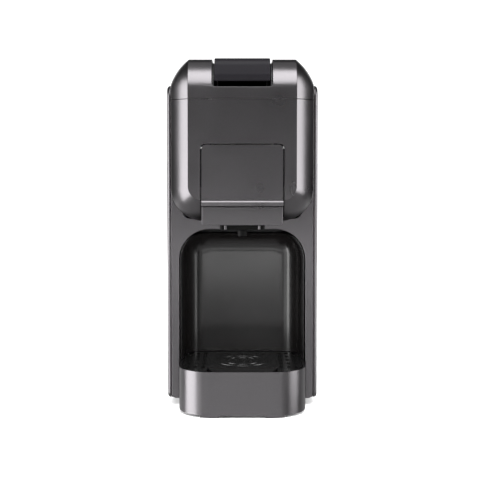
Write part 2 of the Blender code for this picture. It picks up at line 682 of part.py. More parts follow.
def make_flap():
    back = HEAD_FRONT + FLAP_THICK
    chamfer, lip = 1 * MM, 5.5 * MM
    front = HEAD_FRONT - lip
    side = [(HEAD_FRONT, FLAP_TOP - chamfer), (HEAD_FRONT, FLAP_LIP), (front, FLAP_LIP - 0.8 * MM)]
    side += [(front, FLAP_FOOT), (back, FLAP_FOOT), (back, FLAP_TOP), (HEAD_FRONT + chamfer, FLAP_TOP)]
    flap = add("front_flap", prism(side, "X", -FLAP_HALF, FLAP_HALF), "gunmetal")
    centre, beyond = FLAP_HALF - FLAP_CORNER, FLAP_HALF + 1 * MM
    curve = arc(centre, FLAP_TOP - FLAP_CORNER, FLAP_CORNER, 90, 0, 4)
    outline = [(beyond, TOP), (centre, TOP)] + curve + [(beyond, FLAP_TOP - FLAP_CORNER)]
    for s in (-1, 1):
        boolean(flap, prism([(s * x, z) for x, z in outline], "Y", -FAR, 0))
    half, radius = 28 * MM, 2.2 * MM
    barrel = [(0, -half), (radius, -half), (radius, half), (0, half)]
    boolean(flap, turned(barrel, "X", FLAP_AXIS, 16), "UNION")
    boolean(flap, prism(disc(FLAP_AXIS.y, FLAP_AXIS.z, HINGE_BORE, 12), "X", -FAR, FAR))
    end, radius = HINGE_REACH - GAP, HINGE_BORE - 0.3 * MM
    pin = [(0, -end), (radius, -end), (radius, end), (0, end)]
    add("flap_hinge_pin", turned(pin, "X", FLAP_AXIS, 12), "steel")


# ---------------------------------------------------------------- drawer
def tray_plan(inset):
    corners = (TRAY_CORNER - inset, TRAY_CORNER - inset, 0, 0)
    return rounded(both(TRAY_HALF - inset), (FRONT + inset, NICHE_BACK - inset), corners, 7)


def niche_hollow(steps=5):
    """The niche's inner form: an arch that closes in on its back wall along a round edge."""
    inset = NICHE_CLEAR + NICHE_WALL
    half, top, corner = TRAY_HALF - NICHE_WALL, ARCH_TOP - inset, ARCH_RADIUS - inset
    start = NICHE_BACK + 2 * MM - NICHE_WALL - NICHE_ROUND
    rings = [(FRONT, 0)]
    for i in range(steps + 1):
        turn = math.pi / 2 * i / steps
        rings.append((start + NICHE_ROUND * math.sin(turn), NICHE_ROUND * (1 - math.cos(turn))))
    bm = bmesh.new()
    rows = []
    for y, drawn_in in rings:
        outline = arch_outline(half - drawn_in, top - drawn_in, corner - drawn_in, 0)
        rows.append([bm.verts.new((x, y, z)) for x, z in outline])
    for near, far in zip(rows, rows[1:]):
        for i in range(len(near)):
            j = (i + 1) % len(near)
            bm.faces.new((near[i], near[j], far[j], far[i]))
    bm.faces.new(rows[0])
    bm.faces.new(list(reversed(rows[-1])))
    return bm


def slot_places():
    """Three columns of drain slots on each side of the plain cup platform."""
    columns = [side * (SLOT_FIRST_X + SLOT_PITCH_X * i) for side in (-1, 1) for i in range(3)]
    return [(x, FRONT + SLOT_FIRST_Y + SLOT_PITCH_Y * row) for x in columns for row in range(5)]


def basin_plan(inset, rear):
    """Plan of a hollow in the tray, with small rear corners."""
    front_corner, rear_corner = TRAY_CORNER - inset, 5 * MM
    corners = (front_corner, front_corner, rear_corner, rear_corner)
    return rounded(both(TRAY_HALF - inset), (FRONT + inset, rear), corners, 7)


def make_tray():
    tray = add("drip_tray", prism(tray_plan(0), "Z", TRAY_BOTTOM, TRAY_TOP), "gunmetal")
    arm = box(both(46 * MM), (NICHE_BACK - 10 * MM, BIN_REAR), (DRAWER_FLOOR, BIN_FOOT - GAP))
    boolean(tray, arm, "UNION")
    boolean(tray, box(both(FAR), (BEZEL_FRONT - 1 * MM, FAR), (0, DRAWER_FLOOR)))
    boolean(tray, prism(basin_plan(TRAY_WALL, NICHE_BACK - 3 * MM), "Z", GRID_REST, FAR))
    inset = TRAY_WALL + 2 * MM
    boolean(tray, prism(basin_plan(inset, NICHE_BACK - inset), "Z", DRAWER_FLOOR + 2 * MM, FAR))
    ledge = box(both(LEDGE_HALF), (FRONT + 1 * MM, FRONT + LEDGE_DEPTH), (TRAY_TOP - 2 * MM, TRAY_TOP))
    boolean(tray, ledge, "UNION")
    pad = [mm(18, 0.4), mm(24, 0.4), mm(33, 2.3), mm(33, 14), mm(18, 14)]
    for side in (-1, 1):
        outline = [(side * x, FRONT + y) for x, y in pad]
        boolean(tray, prism(outline, "Z", PAD_FOOT, TRAY_BOTTOM + 1.8 * MM), "UNION")


def make_niche():
    corners = (0, 0, NICHE_CORNER, NICHE_CORNER)
    plan = rounded(both(TRAY_HALF), (NICHE_FRONT, NICHE_BACK + 2 * MM), corners)
    wall = add("niche_wall", prism(plan, "Z", TRAY_TOP + GAP, NICHE_WALL_TOP), "gloss")
    boolean(wall, niche_hollow())
    half, top, corner = ARCH_HALF - NICHE_CLEAR, ARCH_TOP - NICHE_CLEAR, ARCH_RADIUS - NICHE_CLEAR
    boolean(wall, prism(arch_outline(half, top, corner, 0), "Y", -FAR, FAR), "INTERSECT")


def make_grid():
    top = TRAY_TOP + 0.2 * MM
    clear = TRAY_WALL + 0.6 * MM
    front_corner, rear_corner = TRAY_CORNER - clear, NICHE_CORNER - clear
    corners = (front_corner, front_corner, rear_corner, rear_corner)
    plan = rounded(both(TRAY_HALF - clear), (FRONT + clear, NICHE_BACK - 3.4 * MM), corners, 7)
    grid = add("drip_grid", prism(plan, "Z", top - 3 * MM, top), "black")
    boolean(grid, box(both(LEDGE_HALF + GAP), (-FAR, FRONT + LEDGE_DEPTH + GAP), (0, FAR)))
    half_wide, half_long = GRID_SLOT_WIDE / 2, GRID_SLOT_LONG / 2
    slots = bmesh.new()
    for x, y in slot_places():
        corners = [half_wide * 0.99] * 4
        outline = rounded((x - half_wide, x + half_wide), (y - half_long, y + half_long), corners, 2)
        prism(outline, "Z", 0, FAR, slots)
    boolean(grid, slots)


def make_bin():
    half, wall = 42 * MM, 1.8 * MM
    front = NICHE_BACK + 2.4 * MM
    capsule_bin = add("capsule_bin", box(both(half), (front, BIN_REAR), (BIN_FOOT, BIN_TOP)), "black")
    boolean(capsule_bin, box(both(half - wall), (front + wall, BIN_REAR - wall), (BIN_FOOT + 2 * MM, FAR)))


# ---------------------------------------------------------------- water tank and rear
def rear_plan(inset, front):
    corner, small = TANK_CORNER - inset, 3 * MM
    return rounded(both(TANK_HALF - inset), (front + inset, REAR - inset), (small, small, corner, corner), 6)


def make_rear():
    front = BODY_REAR + GAP
    housing = add("rear_housing", prism(rear_plan(0, front), "Z", SHELL_FOOT, TANK_FOOT - GAP), "gunmetal")
    boolean(housing, prism(rear_plan(2.4 * MM, front), "Z", 0, TANK_FOOT - 3 * MM))
    for low, high in (INLET, SWITCH):
        x, z = (low[0] - GAP, high[0] + GAP), (low[1] - GAP, high[1] + GAP)
        boolean(housing, box(x, (BODY_REAR + 28 * MM, FAR), z))
    boolean(housing, prism(disc(0, TANK_VALVE_Y, 8 * MM), "Z", TANK_FOOT - 20 * MM, FAR))


def make_inlet():
    """The mains inlet: a recess with two cut corners, as on a common three-pin inlet."""
    (left, foot), (right, top) = INLET
    rear, wall = REAR - 0.6 * MM, 2.5 * MM
    socket = add("power_inlet", box((left, right), (rear - 20 * MM, rear), (foot, top)), "black")
    recess = rounded((left + wall, right - wall), (foot + wall, top - wall), mm(1, 1, 5, 5), 2)
    boolean(socket, prism(recess, "Y", rear - 15 * MM, FAR))


def make_switch():
    (left, foot), (right, top) = SWITCH
    rear, wall = REAR - 0.6 * MM, 1.6 * MM
    middle = (foot + top) / 2
    frame = add("switch_frame", box((left, right), (rear - 12 * MM, rear), (foot, top)), "black")
    boolean(frame, box((left + wall, right - wall), (rear - 10 * MM, FAR), (foot + wall, top - wall)))
    heel = rear - 6 * MM
    rocker = [(heel, middle - 3.5 * MM), (rear - 0.6 * MM, middle - 5.1 * MM), (rear - 0.2 * MM, middle)]
    rocker += [(rear + 0.4 * MM, middle + 4.9 * MM), (heel, middle + 3.5 * MM)]
    clear = wall + GAP
    add("power_switch", prism(rocker, "X", left + clear, right - clear), "black")


def make_tank():
    tank = add("water_tank", prism(rear_plan(0, TANK_FRONT), "Z", TANK_FOOT, TANK_TOP), "smoke")
    boolean(tank, prism(rear_plan(TANK_WALL, TANK_FRONT), "Z", TANK_FOOT + 4 * MM, FAR))
    boolean(tank, prism(disc(0, TANK_VALVE_Y, 5 * MM, 16), "Z", 0, TANK_FOOT + 18 * MM))
    centre = (0, TANK_VALVE_Y, TANK_FOOT)
    stem, head, foot = 3.6 * MM, 8 * MM, 4.4 * MM
    valve = [(0, GAP), (stem, GAP), (stem, foot), (head, foot), (head - 1 * MM, foot + 3.6 * MM), mm(0, 10)]
    add("tank_valve", turned(valve, "Z", centre, 16), "natural")
    socket = [mm(0, -22), mm(7, -22), mm(7, -1), mm(1.8, -1), mm(1.4, 0), (0, 0)]
    add("tank_socket", turned(socket, "Z", centre, 16), "rubber")


def make_tank_lid():
    """A lid with a rim that reaches down inside the tank, and a finger notch at the rear."""
    foot, thick = TANK_TOP + GAP, 2.4 * MM
    under = TOP - thick
    lid = add("tank_lid", prism(rear_plan(0, TANK_FRONT), "Z", foot, TOP), "gunmetal")
    boolean(lid, prism(rear_plan(thick, TANK_FRONT), "Z", 0, under))
    boolean(lid, box(mm(-12, 12), (REAR - 5 * MM, FAR), (0, foot + 3 * MM)))
    outer = TANK_WALL + 0.5 * MM
    boolean(lid, prism(rear_plan(outer, TANK_FRONT), "Z", TANK_TOP - 4 * MM, TOP - 1 * MM), "UNION")
    boolean(lid, prism(rear_plan(outer + 1.8 * MM, TANK_FRONT), "Z", 0, under))


# ---------------------------------------------------------------- water works
def make_pump():
    neck, body, coil, cap = mm(5, 14, 21, 12)
    profile = [mm(0, 40), (neck, 40 * MM), (neck, 52 * MM), (body, 54 * MM), (body, 66 * MM), (coil, 68 * MM)]
    profile += [(coil, 104 * MM), (cap, 106 * MM), (cap, 118 * MM), mm(4, 120), mm(4, 132), mm(0, 132)]
    add("pump", turned(profile, "Z", (PUMP_X, PUMP_Y, 0), 20), "cast")
    bracket = add("pump_bracket", box(mm(-55, 2), mm(36, 89.4), mm(56, 58.4)), "rubber")
    boolean(bracket, prism(disc(PUMP_X, PUMP_Y, body + 0.6 * MM), "Z", 0, FAR))
    meter = [(0, SHELL_FOOT), (12 * MM, SHELL_FOOT), mm(12, 34), mm(4, 34), mm(4, 40), mm(0, 40)]
    add("flow_meter", turned(meter, "Z", (METER_X, PUMP_Y, 0), 18), "natural")


def make_board():
    """The control board on the right wall, with three parts and four stand-offs."""
    board = add("control_board", box(mm(50, 51.6), mm(24, 88), mm(100, 176)), "board")
    for y, z, side in (mm(30, 116, 14), mm(54, 148, 18), mm(66, 114, 10)):
        boolean(board, box(mm(42, 50.8), (y, y + side), (z, z + side)), "UNION")
    for y in mm(28, 84):
        for z in mm(104, 172):
            boolean(board, prism(disc(y, z, 2 * MM, 8), "X", 51 * MM, 55.2 * MM), "UNION")


def make_hoses():
    supply = [(0, TANK_VALVE_Y, 39.2 * MM), (0, TANK_VALVE_Y, 30 * MM)]
    supply += [mm(6, 116, 22), mm(16, 108, 17), mm(26, 104, 16)]
    hose("hose_tank_to_meter", supply, 2.6 * MM, "silicone")
    loop = [(METER_X, PUMP_Y, 40.8 * MM), (METER_X, PUMP_Y, 47 * MM), mm(22, 64, 52), mm(14, 66, 48)]
    loop += [mm(8, 67, 36), mm(0, 67, 27), mm(-12, 64, 24)]
    loop += [(PUMP_X, PUMP_Y, 30 * MM), (PUMP_X, PUMP_Y, 39.4 * MM)]
    hose("hose_meter_to_pump", loop, 2.6 * MM, "silicone")
    rise = [(PUMP_X, PUMP_Y, 132.6 * MM), (PUMP_X, PUMP_Y, 146 * MM), mm(-18, 60, 170), mm(-8, 52, 196)]
    rise += [mm(0, 44, 206), mm(0, 28, 208)]
    hose("hose_pump_to_boiler", rise, 2.2 * MM, "silicone")


# ---------------------------------------------------------------- joints
def hang_on_joints():
    """Parents each moving piece to an empty on its joint's axis."""
    pivot("lever_pivot", LEVER_AXIS, ["lever_handle", "lever_shaft", "left_cam_plate", "right_cam_plate"])
    pivot("cage_guide", PIN_START, ["capsule_cage", "left_cage_pin", "right_cage_pin"])
    pivot("flap_pivot", FLAP_AXIS, ["front_flap", "flap_hinge_pin"])
    drawer = pivot("drawer_guide", (0, FRONT, TRAY_BOTTOM), ["drip_tray", "niche_wall", "capsule_bin"])
    pivot("grid_guide", (0, BEZEL_FRONT, TRAY_TOP), ["drip_grid"], drawer)
    tank = pivot("tank_guide", (0, TANK_VALVE_Y, TANK_FOOT), ["water_tank", "tank_valve"])
    pivot("tank_lid_guide", (0, TANK_VALVE_Y, TANK_TOP), ["tank_lid"], tank)
    for name, x in button_places():
        pivot(f"{name}_guide", (x, BUTTON_Y, BUTTON_FOOT), [name])
    (left, foot), (right, top) = SWITCH
    pivot("power_switch_pivot", ((left + right) / 2, REAR - 4.6 * MM, (foot + top) / 2), ["power_switch"])


def main():
    clear_scene()
    make_casing()
    make_screws()
    make_head()
    make_lid()
    make_lever_well()
    make_buttons()
    make_lever()
    make_cams()
    make_cage()
    make_injector()
    make_cradle()
    make_chutes()
    make_outlet()
    make_spout()
    make_duct()
    make_flap()
    make_tray()
    make_niche()
    make_grid()
    make_bin()
    make_rear()
    make_inlet()
    make_switch()
    make_tank()
    make_tank_lid()
    make_pump()
    make_board()
    make_hoses()
    hang_on_joints()


main()
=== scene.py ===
"""The look of a narrow pod coffee machine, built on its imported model.

Lengths are in metres, written as millimetres times MM. The front faces -Y and the machine stands on z = 0.
"""

import math

import bmesh
import bpy
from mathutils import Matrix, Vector


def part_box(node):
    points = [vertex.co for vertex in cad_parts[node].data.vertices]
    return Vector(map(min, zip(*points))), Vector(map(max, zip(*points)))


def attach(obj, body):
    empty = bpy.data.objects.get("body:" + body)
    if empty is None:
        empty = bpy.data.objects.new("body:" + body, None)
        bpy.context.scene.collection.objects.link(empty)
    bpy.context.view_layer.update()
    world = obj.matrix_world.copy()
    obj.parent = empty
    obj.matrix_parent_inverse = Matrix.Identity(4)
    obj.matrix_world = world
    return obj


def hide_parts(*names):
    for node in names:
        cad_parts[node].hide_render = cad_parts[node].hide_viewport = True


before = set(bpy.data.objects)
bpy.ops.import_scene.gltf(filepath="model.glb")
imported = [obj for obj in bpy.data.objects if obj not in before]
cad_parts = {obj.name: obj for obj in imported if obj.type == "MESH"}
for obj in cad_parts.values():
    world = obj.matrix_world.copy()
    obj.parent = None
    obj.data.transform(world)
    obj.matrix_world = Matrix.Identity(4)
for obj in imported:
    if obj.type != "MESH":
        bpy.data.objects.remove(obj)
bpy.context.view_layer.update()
MM = 0.001
FAR = 0.3

# ---------------------------------------------------------------- places read from the model
HEAD_LOW, HEAD_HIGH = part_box("head_shell")
LID_LOW, LID_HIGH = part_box("top_lid")
LEVER_LOW, LEVER_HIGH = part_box("lever_handle")
FLAP_LOW, FLAP_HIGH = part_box("front_flap")
OUTLET_LOW, OUTLET_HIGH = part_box("outlet_housing")
SPOUT_LOW, SPOUT_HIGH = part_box("coffee_spout")
BEZEL_LOW, BEZEL_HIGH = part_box("front_bezel")
TRAY_LOW, TRAY_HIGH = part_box("drip_tray")
GRID_LOW, GRID_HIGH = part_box("drip_grid")
NICHE_LOW, NICHE_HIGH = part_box("niche_wall")
TANK_LOW, TANK_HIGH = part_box("water_tank")
TANK_LID_LOW, TANK_LID_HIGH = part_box("tank_lid")
VALVE_LOW, VALVE_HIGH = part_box("tank_valve")
WELL_LOW, WELL_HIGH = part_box("lever_well")

# ---------------------------------------------------------------- sizes of the outer form
TOP = LID_HIGH.z
GAP = 0.4 * MM
HEAD_FRONT = HEAD_LOW.y
SHELL = 2.4 * MM
CREASE = 42.4 * MM
SIDE_BEVEL = HEAD_HIGH.x - CREASE
FOOT_BEVEL = 17.2 * MM
BEVEL_DEPTH = 19.6 * MM
BEVEL_START = math.radians(40)
BEVEL_END = math.radians(72)
TOP_RADIUS = 25 * MM
FOOT = HEAD_LOW.z + FOOT_BEVEL
CORNER = 11 * MM
CHANNEL_HALF = WELL_HIGH.x + GAP
CHANNEL_REAR = WELL_HIGH.y + GAP
NOTCH_FOOT = WELL_LOW.z + 2.4 * MM
DOORWAY_HALF = FLAP_HIGH.x + 1 * MM
DOORWAY_TOP = FLAP_HIGH.z + 0.8 * MM
DOORWAY_CORNER = 4.1 * MM
ARCH_HALF = 51.3 * MM
ARCH_TOP = 144.3 * MM
ARCH_RADIUS = 25 * MM

# ---------------------------------------------------------------- main looks
GUNMETAL = (0.088, 0.084, 0.088)
GUNMETAL_ROUGH = (0.27, 0.33)
GUNMETAL_METALLIC = 0.97
FLOOR_LEVEL = 0.88
WORLD_STRENGTH = 1.3

# ---------------------------------------------------------------- camera
LENS = 76.4
SHIFT_X, SHIFT_Y = 0.0154, -0.057
CAMERA_DISTANCE = 813 * MM
CAMERA_HEIGHT = 202.9 * MM
LOOK_DOWN = math.radians(3.2)


# ---------------------------------------------------------------- building blocks
def link(name, mesh):
    obj = bpy.data.objects.new(name, mesh)
    bpy.context.scene.collection.objects.link(obj)
    return obj


def raw(name, bm):
    """A plain object from a bmesh, which is freed."""
    mesh = bpy.data.meshes.new(name)
    bmesh.ops.recalc_face_normals(bm, faces=bm.faces)
    bm.to_mesh(mesh)
    bm.free()
    return link(name, mesh)


def place(u, v, w, axis):
    return {"X": (w, u, v), "Y": (u, w, v), "Z": (u, v, w)}[axis]


def loft(rings, axis, bm=None):
    """A closed solid through rings of (outline, height on the axis), added to bm if there is one."""
    bm = bm or bmesh.new()
    rows = [[bm.verts.new(place(u, v, w, axis)) for u, v in outline] for outline, w in rings]
    bm.faces.new(rows[0])
    bm.faces.new(list(reversed(rows[-1])))
    for near, far in zip(rows, rows[1:]):
        for i in range(len(near)):
            j = (i + 1) % len(near)
            bm.faces.new((near[i], far[i], far[j], near[j]))
    return bm


def prism(outline, axis, low, high, bm=None):
    """A closed prism. The outline is in the two other axes, in X, Y, Z order."""
    return loft([(outline, low), (outline, high)], axis, bm)


def box(x, y, z, bm=None):
    return prism([(x[0], y[0]), (x[1], y[0]), (x[1], y[1]), (x[0], y[1])], "Z", z[0], z[1], bm)


def arc(cu, cv, radius, start, end, steps):
    turn = [math.radians(start + (end - start) * i / steps) for i in range(steps + 1)]
    return [(cu + radius * math.cos(a), cv + radius * math.sin(a)) for a in turn]


def rounded(u, v, radii, steps=8):
    """A rectangle with a radius for each corner: low-low, high-low, high-high, low-high."""
    corners = [
        (u[0], v[0], 1, 1, 180),
        (u[1], v[0], -1, 1, 270),
        (u[1], v[1], -1, -1, 0),
        (u[0], v[1], 1, -1, 90),
    ]
    points = []
    for (cu, cv, su, sv, start), radius in zip(corners, radii):
        if radius <= 0:
            points.append((cu, cv))
        else:
            points += arc(cu + su * radius, cv + sv * radius, radius, start, start + 90, steps)
    return points


def disc(cu, cv, radius, steps=32):
    return arc(cu, cv, radius, 0, 360 * (1 - 1 / steps), steps - 1)


def turned(profile, axis, centre, steps=40, bm=None):
    """A closed solid from a profile of (radius, height) points, turned about an axis through centre."""
    bm = bm or bmesh.new()
    rows = []
    for i in range(steps):
        a = 2 * math.pi * i / steps
        ring = [(r * math.cos(a), r * math.sin(a), h) for r, h in profile]
        rows.append([bm.verts.new(Vector(place(u, v, h, axis)) + Vector(centre)) for u, v, h in ring])
    fresh = [v for row in rows for v in row]
    for i in range(steps):
        for j in range(len(profile)):
            k = (j + 1) % len(profile)
            bm.faces.new((rows[i][j], rows[i][k], rows[(i + 1) % steps][k], rows[(i + 1) % steps][j]))
    bmesh.ops.remove_doubles(bm, verts=fresh, dist=1e-6)
    bmesh.ops.dissolve_degenerate(bm, edges=bm.edges, dist=1e-7)
    return bm


def cut(obj, bm, operation="DIFFERENCE"):
    """Cuts or joins at once, and leaves no helper behind."""
    helper = raw("helper", bm)
    modifier = obj.modifiers.new("tool", "BOOLEAN")
    modifier.operation = operation
    modifier.solver = "EXACT"
    modifier.object = helper
    settle(obj)
    bpy.data.objects.remove(helper)


def join(obj, bm):
    cut(obj, bm, "UNION")


def keep(obj, bm):
    cut(obj, bm, "INTERSECT")


def settle(obj):
    """Replaces the mesh by what its modifiers make of it."""
    graph = bpy.context.evaluated_depsgraph_get()
    mesh = bpy.data.meshes.new_from_object(obj.evaluated_get(graph))
    obj.modifiers.clear()
    obj.data = mesh


def finished(obj, body, material, soften=0.35 * MM, limit=35, sharp=30, steps=2, stands_for=()):
    """Cleans a mesh, rounds its hard edges, gives it its material and puts it on its body.

    Edges sharper than limit degrees are rounded by soften. Those still sharper than sharp degrees stay crisp.
    """
    bm = bmesh.new()
    bm.from_mesh(obj.data)
    bmesh.ops.remove_doubles(bm, verts=bm.verts, dist=2e-6)
    bmesh.ops.dissolve_limit(bm, angle_limit=math.radians(0.05), verts=bm.verts, edges=bm.edges)
    bm.to_mesh(obj.data)
    bm.free()
    obj.data.materials.clear()
    obj.data.materials.append(material)
    if soften:
        modifier = obj.modifiers.new("soft_edges", "BEVEL")
        modifier.width = soften
        modifier.segments = steps
        modifier.limit_method = "ANGLE"
        modifier.angle_limit = math.radians(limit)
        settle(obj)
    obj.data.shade_smooth()
    obj.data.set_sharp_from_angle(angle=math.radians(sharp))
    if soften:
        modifier = obj.modifiers.new("even_normals", "WEIGHTED_NORMAL")
        modifier.keep_sharp = True
        modifier.weight = 80
    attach(obj, body)
    if stands_for:
        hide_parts(*stands_for)


# ---------------------------------------------------------------- the head's outer form
def bevel_at(share, reach):
    """Outward reach and depth of the creased edge bevel, for a share of its length from 0 to 1."""
    angle = BEVEL_START + (BEVEL_END - BEVEL_START) * share
    out = (math.sin(angle) - math.sin(BEVEL_START)) / (math.sin(BEVEL_END) - math.sin(BEVEL_START))
    back = (math.cos(BEVEL_START) - math.cos(angle)) / (math.cos(BEVEL_START) - math.cos(BEVEL_END))
    return reach * out, BEVEL_DEPTH * back


def head_path(corner_steps, round_steps, inset, rear):
    """The crease line on the +X side: point, outward direction, surface normal and the bevel's reach."""
    radius = TOP_RADIUS - inset
    front = HEAD_FRONT + inset
    ahead, up, right = Vector((0, -1, 0)), Vector((0, 0, 1)), Vector((1, 0, 0))
    path = [(Vector((0, front, FOOT)), -up, ahead, FOOT_BEVEL)]
    centre = Vector((CREASE - CORNER, front, FOOT + CORNER))
    for i in range(corner_steps + 1):
        a = math.pi / 2 * i / corner_steps
        out = Vector((math.sin(a), 0, -math.cos(a)))
        reach = FOOT_BEVEL + (SIDE_BEVEL - FOOT_BEVEL) * i / corner_steps
        path.append((centre + out * CORNER, out, ahead, reach))
    centre = Vector((CREASE, front + radius, TOP - inset - radius))
    for i in range(round_steps + 1):
        a = math.pi / 2 * i / round_steps
        normal = ahead * math.cos(a) + up * math.sin(a)
        path.append((centre + normal * radius, right, normal, SIDE_BEVEL))
    path.append((Vector((CREASE, rear, TOP - inset)), right, up, SIDE_BEVEL))
    return path


def head_form(inset, rear, bevel_steps=18, corner_steps=14, round_steps=18):
    """The closed outer form of the head and lid, drawn in by inset."""
    path = head_path(corner_steps, round_steps, inset, rear)
    bm = bmesh.new()
    sides = {}
    for side in (1, -1):
        rows = []
        for point, out, normal, reach in path:
            row = []
            for j in range(bevel_steps + 1):
                e, d = bevel_at(j / bevel_steps, reach)
                row.append(point + out * e * (1 - inset / reach) - normal * d * (1 - inset / BEVEL_DEPTH))
            if normal.z < 0.01:
                row.append(Vector((row[-1].x, rear, row[-1].z)))
            rows.append([bm.verts.new((side * p.x, p.y, p.z)) for p in row])
        sides[side] = rows
        for a, b in zip(rows, rows[1:]):
            for j in range(bevel_steps):
                bm.faces.new((a[j], a[j + 1], b[j + 1], b[j]))
            if len(a) == len(b) == bevel_steps + 2:
                bm.faces.new((a[-2], a[-1], b[-1], b[-2]))
        upright = [row for row in rows if len(row) == bevel_steps + 2]
        rounding = rows[len(upright):]
        bm.faces.new([upright[-1][-2]] + [row[-1] for row in rounding] + [upright[-1][-1]])
    right, left = sides[1], sides[-1]
    upright = sum(1 for row in right if len(row) == bevel_steps + 2)
    bm.faces.new([row[0] for row in right[:upright]] + [row[0] for row in reversed(left[1:upright])])
    for i in range(upright - 1, len(right) - 1):
        bm.faces.new((right[i][0], right[i + 1][0], left[i + 1][0], left[i][0]))
    loop = [row[-1] for row in right[:upright]] + list(reversed(right[-1])) + left[-1]
    loop += [row[-1] for row in reversed(left[1:upright])]
    bm.faces.new(loop)
    bmesh.ops.remove_doubles(bm, verts=bm.verts, dist=1e-6)
    return bm


# ---------------------------------------------------------------- head, lid, lever and flap
def upright_axis(name):
    """The middle in x and y and the radius of an upright round node."""
    low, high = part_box(name)
    return (low.x + high.x) / 2, (low.y + high.y) / 2, (high.x - low.x) / 2


def add_head(paint):
    head = raw("head_front", head_form(0, HEAD_HIGH.y))
    cut(head, head_form(SHELL, HEAD_HIGH.y + FAR))
    cut(head, box((-FAR, FAR), (-FAR, FAR), (HEAD_HIGH.z, FAR)))
    corners = (0, 0, DOORWAY_CORNER, DOORWAY_CORNER)
    doorway = rounded((-DOORWAY_HALF, DOORWAY_HALF), (0, DOORWAY_TOP), corners, 10)
    cut(head, prism(doorway, "Y", -FAR, 0))
    rebate_foot, rebate_top = DOORWAY_TOP - 7 * MM, DOORWAY_TOP + 0.9 * MM
    cut(head, box((-DOORWAY_HALF, DOORWAY_HALF), (HEAD_FRONT + 0.45 * MM, 0), (rebate_foot, rebate_top)))
    finished(head, "housing", paint, 0.15 * MM, 34, 28, stands_for=["head_shell"])


def add_lid(paint, trim):
    lid = raw("lid_cover", head_form(0, LID_HIGH.y))
    cut(lid, head_form(SHELL, LID_HIGH.y - SHELL))
    cut(lid, box((-FAR, FAR), (-FAR, FAR), (0, LID_LOW.z)))
    corner = 3 * MM
    notch = rounded((-CHANNEL_HALF, CHANNEL_HALF), (NOTCH_FOOT, FAR), (corner, corner, 0, 0), 6)
    cut(lid, prism(notch, "Y", -FAR, CHANNEL_REAR))
    for name in ("espresso_button", "lungo_button"):
        x, y, radius = upright_axis(name)
        cut(lid, prism(disc(x, y, radius + 0.6 * MM, 48), "Z", NOTCH_FOOT, FAR))
        inner = radius + 0.7 * MM
        outer = inner + 1 * MM
        foot, top = TOP - 0.3 * MM, TOP + 0.35 * MM
        ring = [(inner, foot), (outer, foot), (outer, top - 0.2 * MM), (outer - 0.25 * MM, top), (inner, top)]
        finished(raw(name.replace("button", "ring"), turned(ring, "Z", (x, y, 0), 64)), "housing", trim, 0)
    finished(lid, "housing", paint, 0.3 * MM, 34, 28, stands_for=["top_lid"])


def add_button(name, body, plastic, mark):
    """A dished key with a raised cup mark: one bar for the short cup and two for the long one."""
    x, y, radius = upright_axis(name)
    foot, top = (corner.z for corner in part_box(name))
    neck, shoulder = radius * 0.6, foot + 3.6 * MM
    lip, dish = 0.7 * MM, 0.45 * MM
    profile = [(0, foot), (neck, foot), (neck, shoulder), (radius, shoulder), (radius, top - lip)]
    profile += arc(radius - lip, top - lip, lip, 0, 90, 5)[1:]
    profile += [(radius * share, top - dish * (1 - share ** 2)) for share in (0.75, 0.55, 0.35, 0.15)]
    key = raw(f"{name}_key", turned(profile + [(0, top - dish)], "Z", (x, y, 0), 48))
    finished(key, body, plastic, 0, stands_for=[name])
    bars = 1 if name == "espresso_button" else 2
    for i in range(bars):
        middle = y + (i - (bars - 1) / 2) * 1.8 * MM
        bar = prism(rounded((x - 1.7 * MM, x + 1.7 * MM), (middle - 0.35 * MM, middle + 0.35 * MM),
                            [0.34 * MM] * 4, 4), "Z", top - 0.6 * MM, top - 0.2 * MM)
        finished(raw(f"{name}_bar_{i + 1}", bar), body, mark, 0)


def add_lever(plastic):
    """The lever's profile: a rounded top, a face that leans back, a crease, and a band drawn in below it."""
    front, foot, top = LEVER_LOW.y, LEVER_LOW.z + 1.8 * MM, LEVER_HIGH.z
    thick, band = 5.5 * MM, 4.6 * MM
    nose = top - 1.9 * MM
    crease = foot + band
    lean, radius = math.radians(10), 7 * MM
    face = (nose - crease - radius * (1 - math.sin(lean))) / math.cos(lean)
    turn_y = front + face * math.sin(lean) + radius * math.cos(lean)
    axis_y, axis_z = -10 * MM, 272 * MM
    outer = [(front + 1.7 * MM, foot), (front, crease)]
    outer += arc(turn_y, nose - radius, radius, 180 - math.degrees(lean), 90, 12)
    outer += arc(axis_y, axis_z, top - axis_z, 88, -88, 24)
    bend = 17 * MM
    inner = arc(front + bend, top - bend, bend - thick, 90, 180, 12)
    inner = [(axis_y - bend, top - thick)] + inner + [(front + thick, foot)]
    grip = raw("lever_grip", prism(outer + inner, "X", LEVER_LOW.x, LEVER_HIGH.x))
    cut(grip, prism(disc(axis_y, axis_z, 3.3 * MM), "X", -FAR, FAR))
    finished(grip, "lever", plastic, 0.7 * MM, 22, 20, 3, stands_for=["lever_handle"])


